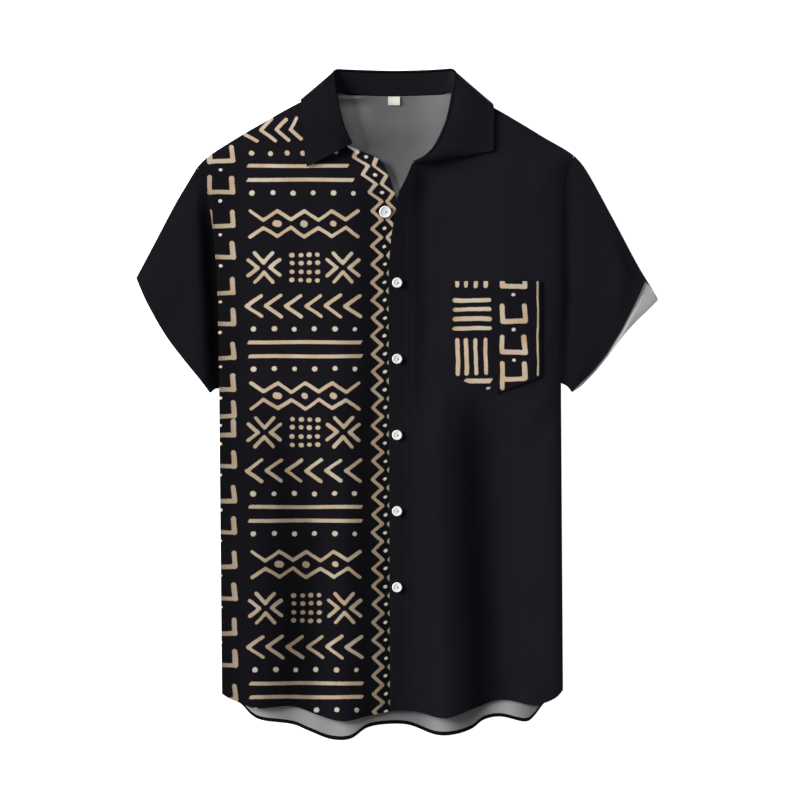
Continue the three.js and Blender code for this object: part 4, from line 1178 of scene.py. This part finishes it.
def collarFall():
    # Round the roll from the stand, then out to the edge, resting on the fronts where over is 1
    c = collar
    rise = unit(fold - neck)
    out = unit(np.cross(rise, unit(np.gradient(fold, axis=0))))
    start = fold + rise * c["gap"]
    radius = c["rollRadius"]
    line = [start + out * radius * (1 - math.cos(angle)) + rise * radius * math.sin(angle)
            for angle in np.linspace(0, math.pi, c["rollSteps"] + 1)[:-1]]
    rolled = start + out * 2 * radius
    onFront = ease(0.1, 0.9, over)
    for t in np.linspace(0, 1, c["fallSteps"] + 1):
        p = rolled + (edge - rolled) * t
        sag = p[:, 2] + c["bulge"] * over * math.sin(math.pi * t) * (1 - t)
        resting = softAbove(sag, leafSupport(p[:, 0], p[:, 1]), 0.5)
        dropped = np.maximum(cloth["backLevel"], edge[:, 2] + (rolled[:, 2] - edge[:, 2]) * (1 - t) ** 3)
        line.append(np.column_stack([p[:, :2], dropped + (resting - dropped) * onFront]))
    return np.stack(line, 1)


fallGrid = collarFall()
fallShare = np.linspace(0, 1, fallGrid.shape[1])[None, :]
fallX = fallGrid[:, :, 0]
# The fall's tone is painted: lighter on the wearer's left leaf, with painted shade in a band a third of the way out
# and on the roll of that leaf
fallLevel = collar["toneAndShade"] + collar["leftPaintedLight"] * ease(-10, 30, fallX)
fallLightAndShade = toneAndShadeField(fallGrid, fallLevel) - collar["foldPaintedShade"] * bell(fallShare - 0.32, 0.12)
fallLightAndShade = fallLightAndShade * (1 - collar["rollPaintedShade"] * bell(fallShare - 0.08, 0.08) * ease(0, 20, fallX))
fallPiece = clothWall("collarFall", fallGrid, collar["fallThick"], (black, black), uv=runLengths(fallGrid),
                      fields={"toneAndShade": clamp01(fallLightAndShade)})
dress(fallPiece, "plain_cloth", "collar_fall")
print("collar made")


# Chest pocket, set from the points of the front under it

pocket = {"left": 65.4, "right": 172.8, "top": 147, "corner": 33, "point": 12.6, "columns": 78, "rows": 92,
          "thick": 0.9, "step": 1.35, "swell": 0.7, "toneAndShade": 0.57, "dotsPale": 0.4}


def pocketPlan():
    p = pocket
    middle = (p["left"] + p["right"]) / 2
    x = np.linspace(p["left"], p["right"], p["columns"] + 1)[None, :]
    v = np.linspace(0, 1, p["rows"] + 1)[:, None]
    foot = p["point"] + (p["corner"] - p["point"]) * np.abs(x - middle) / (middle - p["left"])
    return np.stack([np.broadcast_to(x, (p["rows"] + 1, p["columns"] + 1)), foot + (p["top"] - foot) * v], -1)


def pocketHeight(x, y):
    p = pocket
    inner = np.minimum(np.minimum(x - p["left"], p["right"] - x), (y - p["point"]) * 0.7)
    return plainHeight(x, y) + p["step"] + p["swell"] * (1 - np.exp(-np.clip(inner, 0, None) / 10))


pocketFlat = pocketPlan()
pocketGrid = lift(pocketFlat, pocketHeight)
px, py = pocketFlat[:, :, 0], pocketFlat[:, :, 1]
pocketDots = [stroke for stroke in pocketStrokes() if stroke[4] == pocketPrint["dotHalf"]]
pocketPiece = clothWall("chestPocket", pocketGrid, pocket["thick"], (printed, wrongSide), fields={
    "toneAndShade": toneAndShadeField(pocketGrid, pocket["toneAndShade"]),
    "pale": pocket["dotsPale"] * clamp01(1 - strokeField(px, py, pocketDots)),
    "print": strokeField(px, py, pocketStrokes(), [pocketPrint["cut"], pocketPrint["scrap"]])})
dress(pocketPiece, "printed_cloth", "pocket")
print("pocket made")


# Neck label, bare, sewn in at the stand's seam

label = {"x": -3.6, "top": 368.4, "width": 14.2, "length": 10.2, "thick": 0.5, "columns": 14, "rows": 10}
labelPlan = np.stack(np.meshgrid(
    label["x"] + np.linspace(-0.5, 0.5, label["columns"] + 1) * label["width"],
    label["top"] - label["length"] * np.linspace(1, 0, label["rows"] + 1)), -1)
labelGrid = lift(labelPlan, lambda x, y: backHeight(x, y) + 1.0 + 0.5 * bell(y - 361, 4) + 0.12 * np.sin(x / 3))
labelPiece = clothWall("neckLabel", labelGrid, label["thick"], (tape, tape))
dress(labelPiece, "label_tape", "neck_label")


# Buttons: turned resin discs with a rim, a dished middle, four holes and crossed thread

button = {"radius": 6.0, "openRadius": 7.2, "thick": 2.4, "rim": 1.5, "dish": 0.4, "hole": 0.62, "holeAt": 1.38,
          "sides": 56, "holeSides": 20, "above": 0.75, "spins": (0.3, 0.9, 0.1, 0.62, 1.2, 0.4)}
thread = {"half": 0.2, "sides": 6, "apart": 0.34, "pinch": 0.3, "above": 0.16, "arch": [
    (-1.0, -1.0), (-0.98, -0.3), (-0.8, 0.04), (-0.4, 0.2), (0, 0.26), (0.4, 0.2), (0.8, 0.04), (0.98, -0.3),
    (1.0, -1.0)]}


def lathe(profile, sides):
    angle = np.linspace(0, 2 * math.pi, sides, endpoint=False)
    points = [(r * math.cos(a), r * math.sin(a), z) for r, z in profile[1:-1] for a in angle]
    rings = len(profile) - 2
    caps = [tuple(reversed(range(sides))), tuple((rings - 1) * sides + j for j in range(sides))]
    return points, ringFaces(rings, sides) + caps


def meshObject(name, points, faces, material):
    mesh = bpy.data.meshes.new(name)
    mesh.from_pydata([tuple(c * mm for c in p) for p in points], [], faces)
    mesh.materials.append(material)
    return placeObject(name, mesh)


def buttonMesh(radius):
    b = button
    r, t, rim, dish = radius, b["thick"], b["rim"], b["dish"]
    # The half outline, from the middle of the underside round the rim to the dish
    curve = [(0, 0), (r - 1.1, 0), (r - 0.5, 0.12), (r - 0.12, 0.5), (r, 1.0), (r, t - 0.9), (r - 0.12, t - 0.42),
             (r - 0.42, t - 0.12), (r - 0.8, t), (r - rim, t - 0.04), (r - rim - 0.35, t - 0.22),
             (r - rim - 0.7, t - dish + 0.08), (r - rim - 1.2, t - dish), (0, t - dish)]
    disc = meshObject("discBlank", *lathe(curve, b["sides"]), resin)
    for k in range(4):
        a = math.radians(45 + 90 * k)
        x, y = b["holeAt"] * math.cos(a), b["holeAt"] * math.sin(a)
        pts, fcs = lathe([(0, -1), (b["hole"], -1), (b["hole"], t + 1), (0, t + 1)], b["holeSides"])
        drill = meshObject(f"drill{k}", [(u + x, v + y, w) for u, v, w in pts], fcs, resin)
        cut = disc.modifiers.new("hole", "BOOLEAN")
        cut.operation = "DIFFERENCE"
        cut.object = drill
        cut.solver = "EXACT"
    done = bpy.data.meshes.new_from_object(disc.evaluated_get(bpy.context.evaluated_depsgraph_get()))
    done.shade_smooth()
    done.set_sharp_from_angle(angle=math.radians(35))
    for obj in [o for o in bpy.data.objects if o.name.startswith(("drill", "discBlank"))]:
        bpy.data.objects.remove(obj)
    return done


def threadCross():
    # Three strands over each diagonal pair of holes, and the knot below
    b, strand = button, thread
    z = b["thick"] - b["dish"] + strand["above"]
    points, faces = [], []
    for turnBy in (45, 135):
        a = math.radians(turnBy)
        along = Vector((math.cos(a), math.sin(a), 0))
        side = Vector((-math.sin(a), math.cos(a), 0))
        for offset in (-strand["apart"], 0, strand["apart"]):
            faces += ringFaces(len(strand["arch"]), strand["sides"], len(points))
            for share, height in strand["arch"]:
                c = along * share * b["holeAt"] + side * offset * (1 - strand["pinch"] * abs(share))
                c = c + Vector((0, 0, z + height))
                for k in range(strand["sides"]):
                    q = 2 * math.pi * k / strand["sides"]
                    points.append(tuple(c + (side * math.cos(q) + Vector((0, 0, math.sin(q)))) * strand["half"]))
    pts, fcs = lathe([(0, -1.0), (1.2, -1.0), (0.95, 0.2), (0, 0.2)], 12)
    faces += [tuple(i + len(points) for i in f) for f in fcs]
    return points + pts, faces


def seatButton(number, spin):
    # The solid gives the place, and the cloth under it the slope
    low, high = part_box(f"button_{number}")
    x, y = (low[0] + high[0]) / 2 / mm, (low[1] + high[1]) / 2 / mm
    height = frontHeight if number == 1 else plainHeight

    def at(dx, dy):
        return float(height(np.array([x + dx]), np.array([y + dy]))[0])

    slope = Vector((at(-4, 0) - at(4, 0), at(0, -4) - at(0, 4), 8.0)).normalized()
    disc = placeObject(f"button{number}", buttonMesh(button["openRadius" if number == 1 else "radius"]))
    cross = meshObject(f"buttonThread{number}", *threadCross(), paleThread)
    cross.data.shade_smooth()
    for obj in (disc, cross):
        obj.matrix_world = slope.to_track_quat("Z", "Y").to_matrix().to_4x4()
        obj.rotation_euler.rotate_axis("Z", spin)
        obj.location = (Vector((x, y, at(0, 0))) + slope * (cloth["thick"] / 2 + button["above"])) * mm
    dress(disc, "buttons", f"button_{number}")
    dress(cross, "buttons")


for number, spin in enumerate(button["spins"], 1):
    seatButton(number, spin)
print("buttons made")


# Sewing lines, all in black thread

def placketLine(x=12.8, foot=-360, top=228, count=300):
    xs, ys = np.full(count, x), np.linspace(foot, top, count)
    return (np.column_stack([xs, ys, plainHeight(xs, ys) + cloth["thick"] / 2 + stitch["above"]]),
            np.tile([0.0, 0.0, 1.0], (count, 1)))


# For each piece of sewing: the grid and thickness it lies on, and the stretch of a column or row it follows
seamLines = {
    "placketStitches": [(leftGrid, cloth["thick"], np.s_[3:232, 1])],
    "hemStitches": [(leftGrid, cloth["thick"], np.s_[4, :]), (rightGrid, cloth["thick"], np.s_[5, :])],
    "armholeStitches": [(leftGrid, cloth["thick"], np.s_[190:326, -3]),
                        (rightGrid, cloth["thick"], np.s_[224:385, 2])],
    "pocketStitches": [(pocketGrid, pocket["thick"], side)
                       for side in (np.s_[:, 2], np.s_[:, -3], np.s_[2, :], np.s_[-14, :])],
    "collarStitches": [(fallGrid, collar["fallThick"], np.s_[4:-4, -5]),
                       (fallGrid, collar["fallThick"], np.s_[6, 9:-5]),
                       (fallGrid, collar["fallThick"], np.s_[-7, 9:-5]),
                       (standGrid, collar["standThick"], np.s_[:, 1])],
}
for name, places in seamLines.items():
    lines = [surfaceLine(*place) for place in places]
    if name == "placketStitches":
        lines.append(placketLine())
    dress(sewStitches(name, lines, darkThread), "plain_cloth")
print("sewing made")
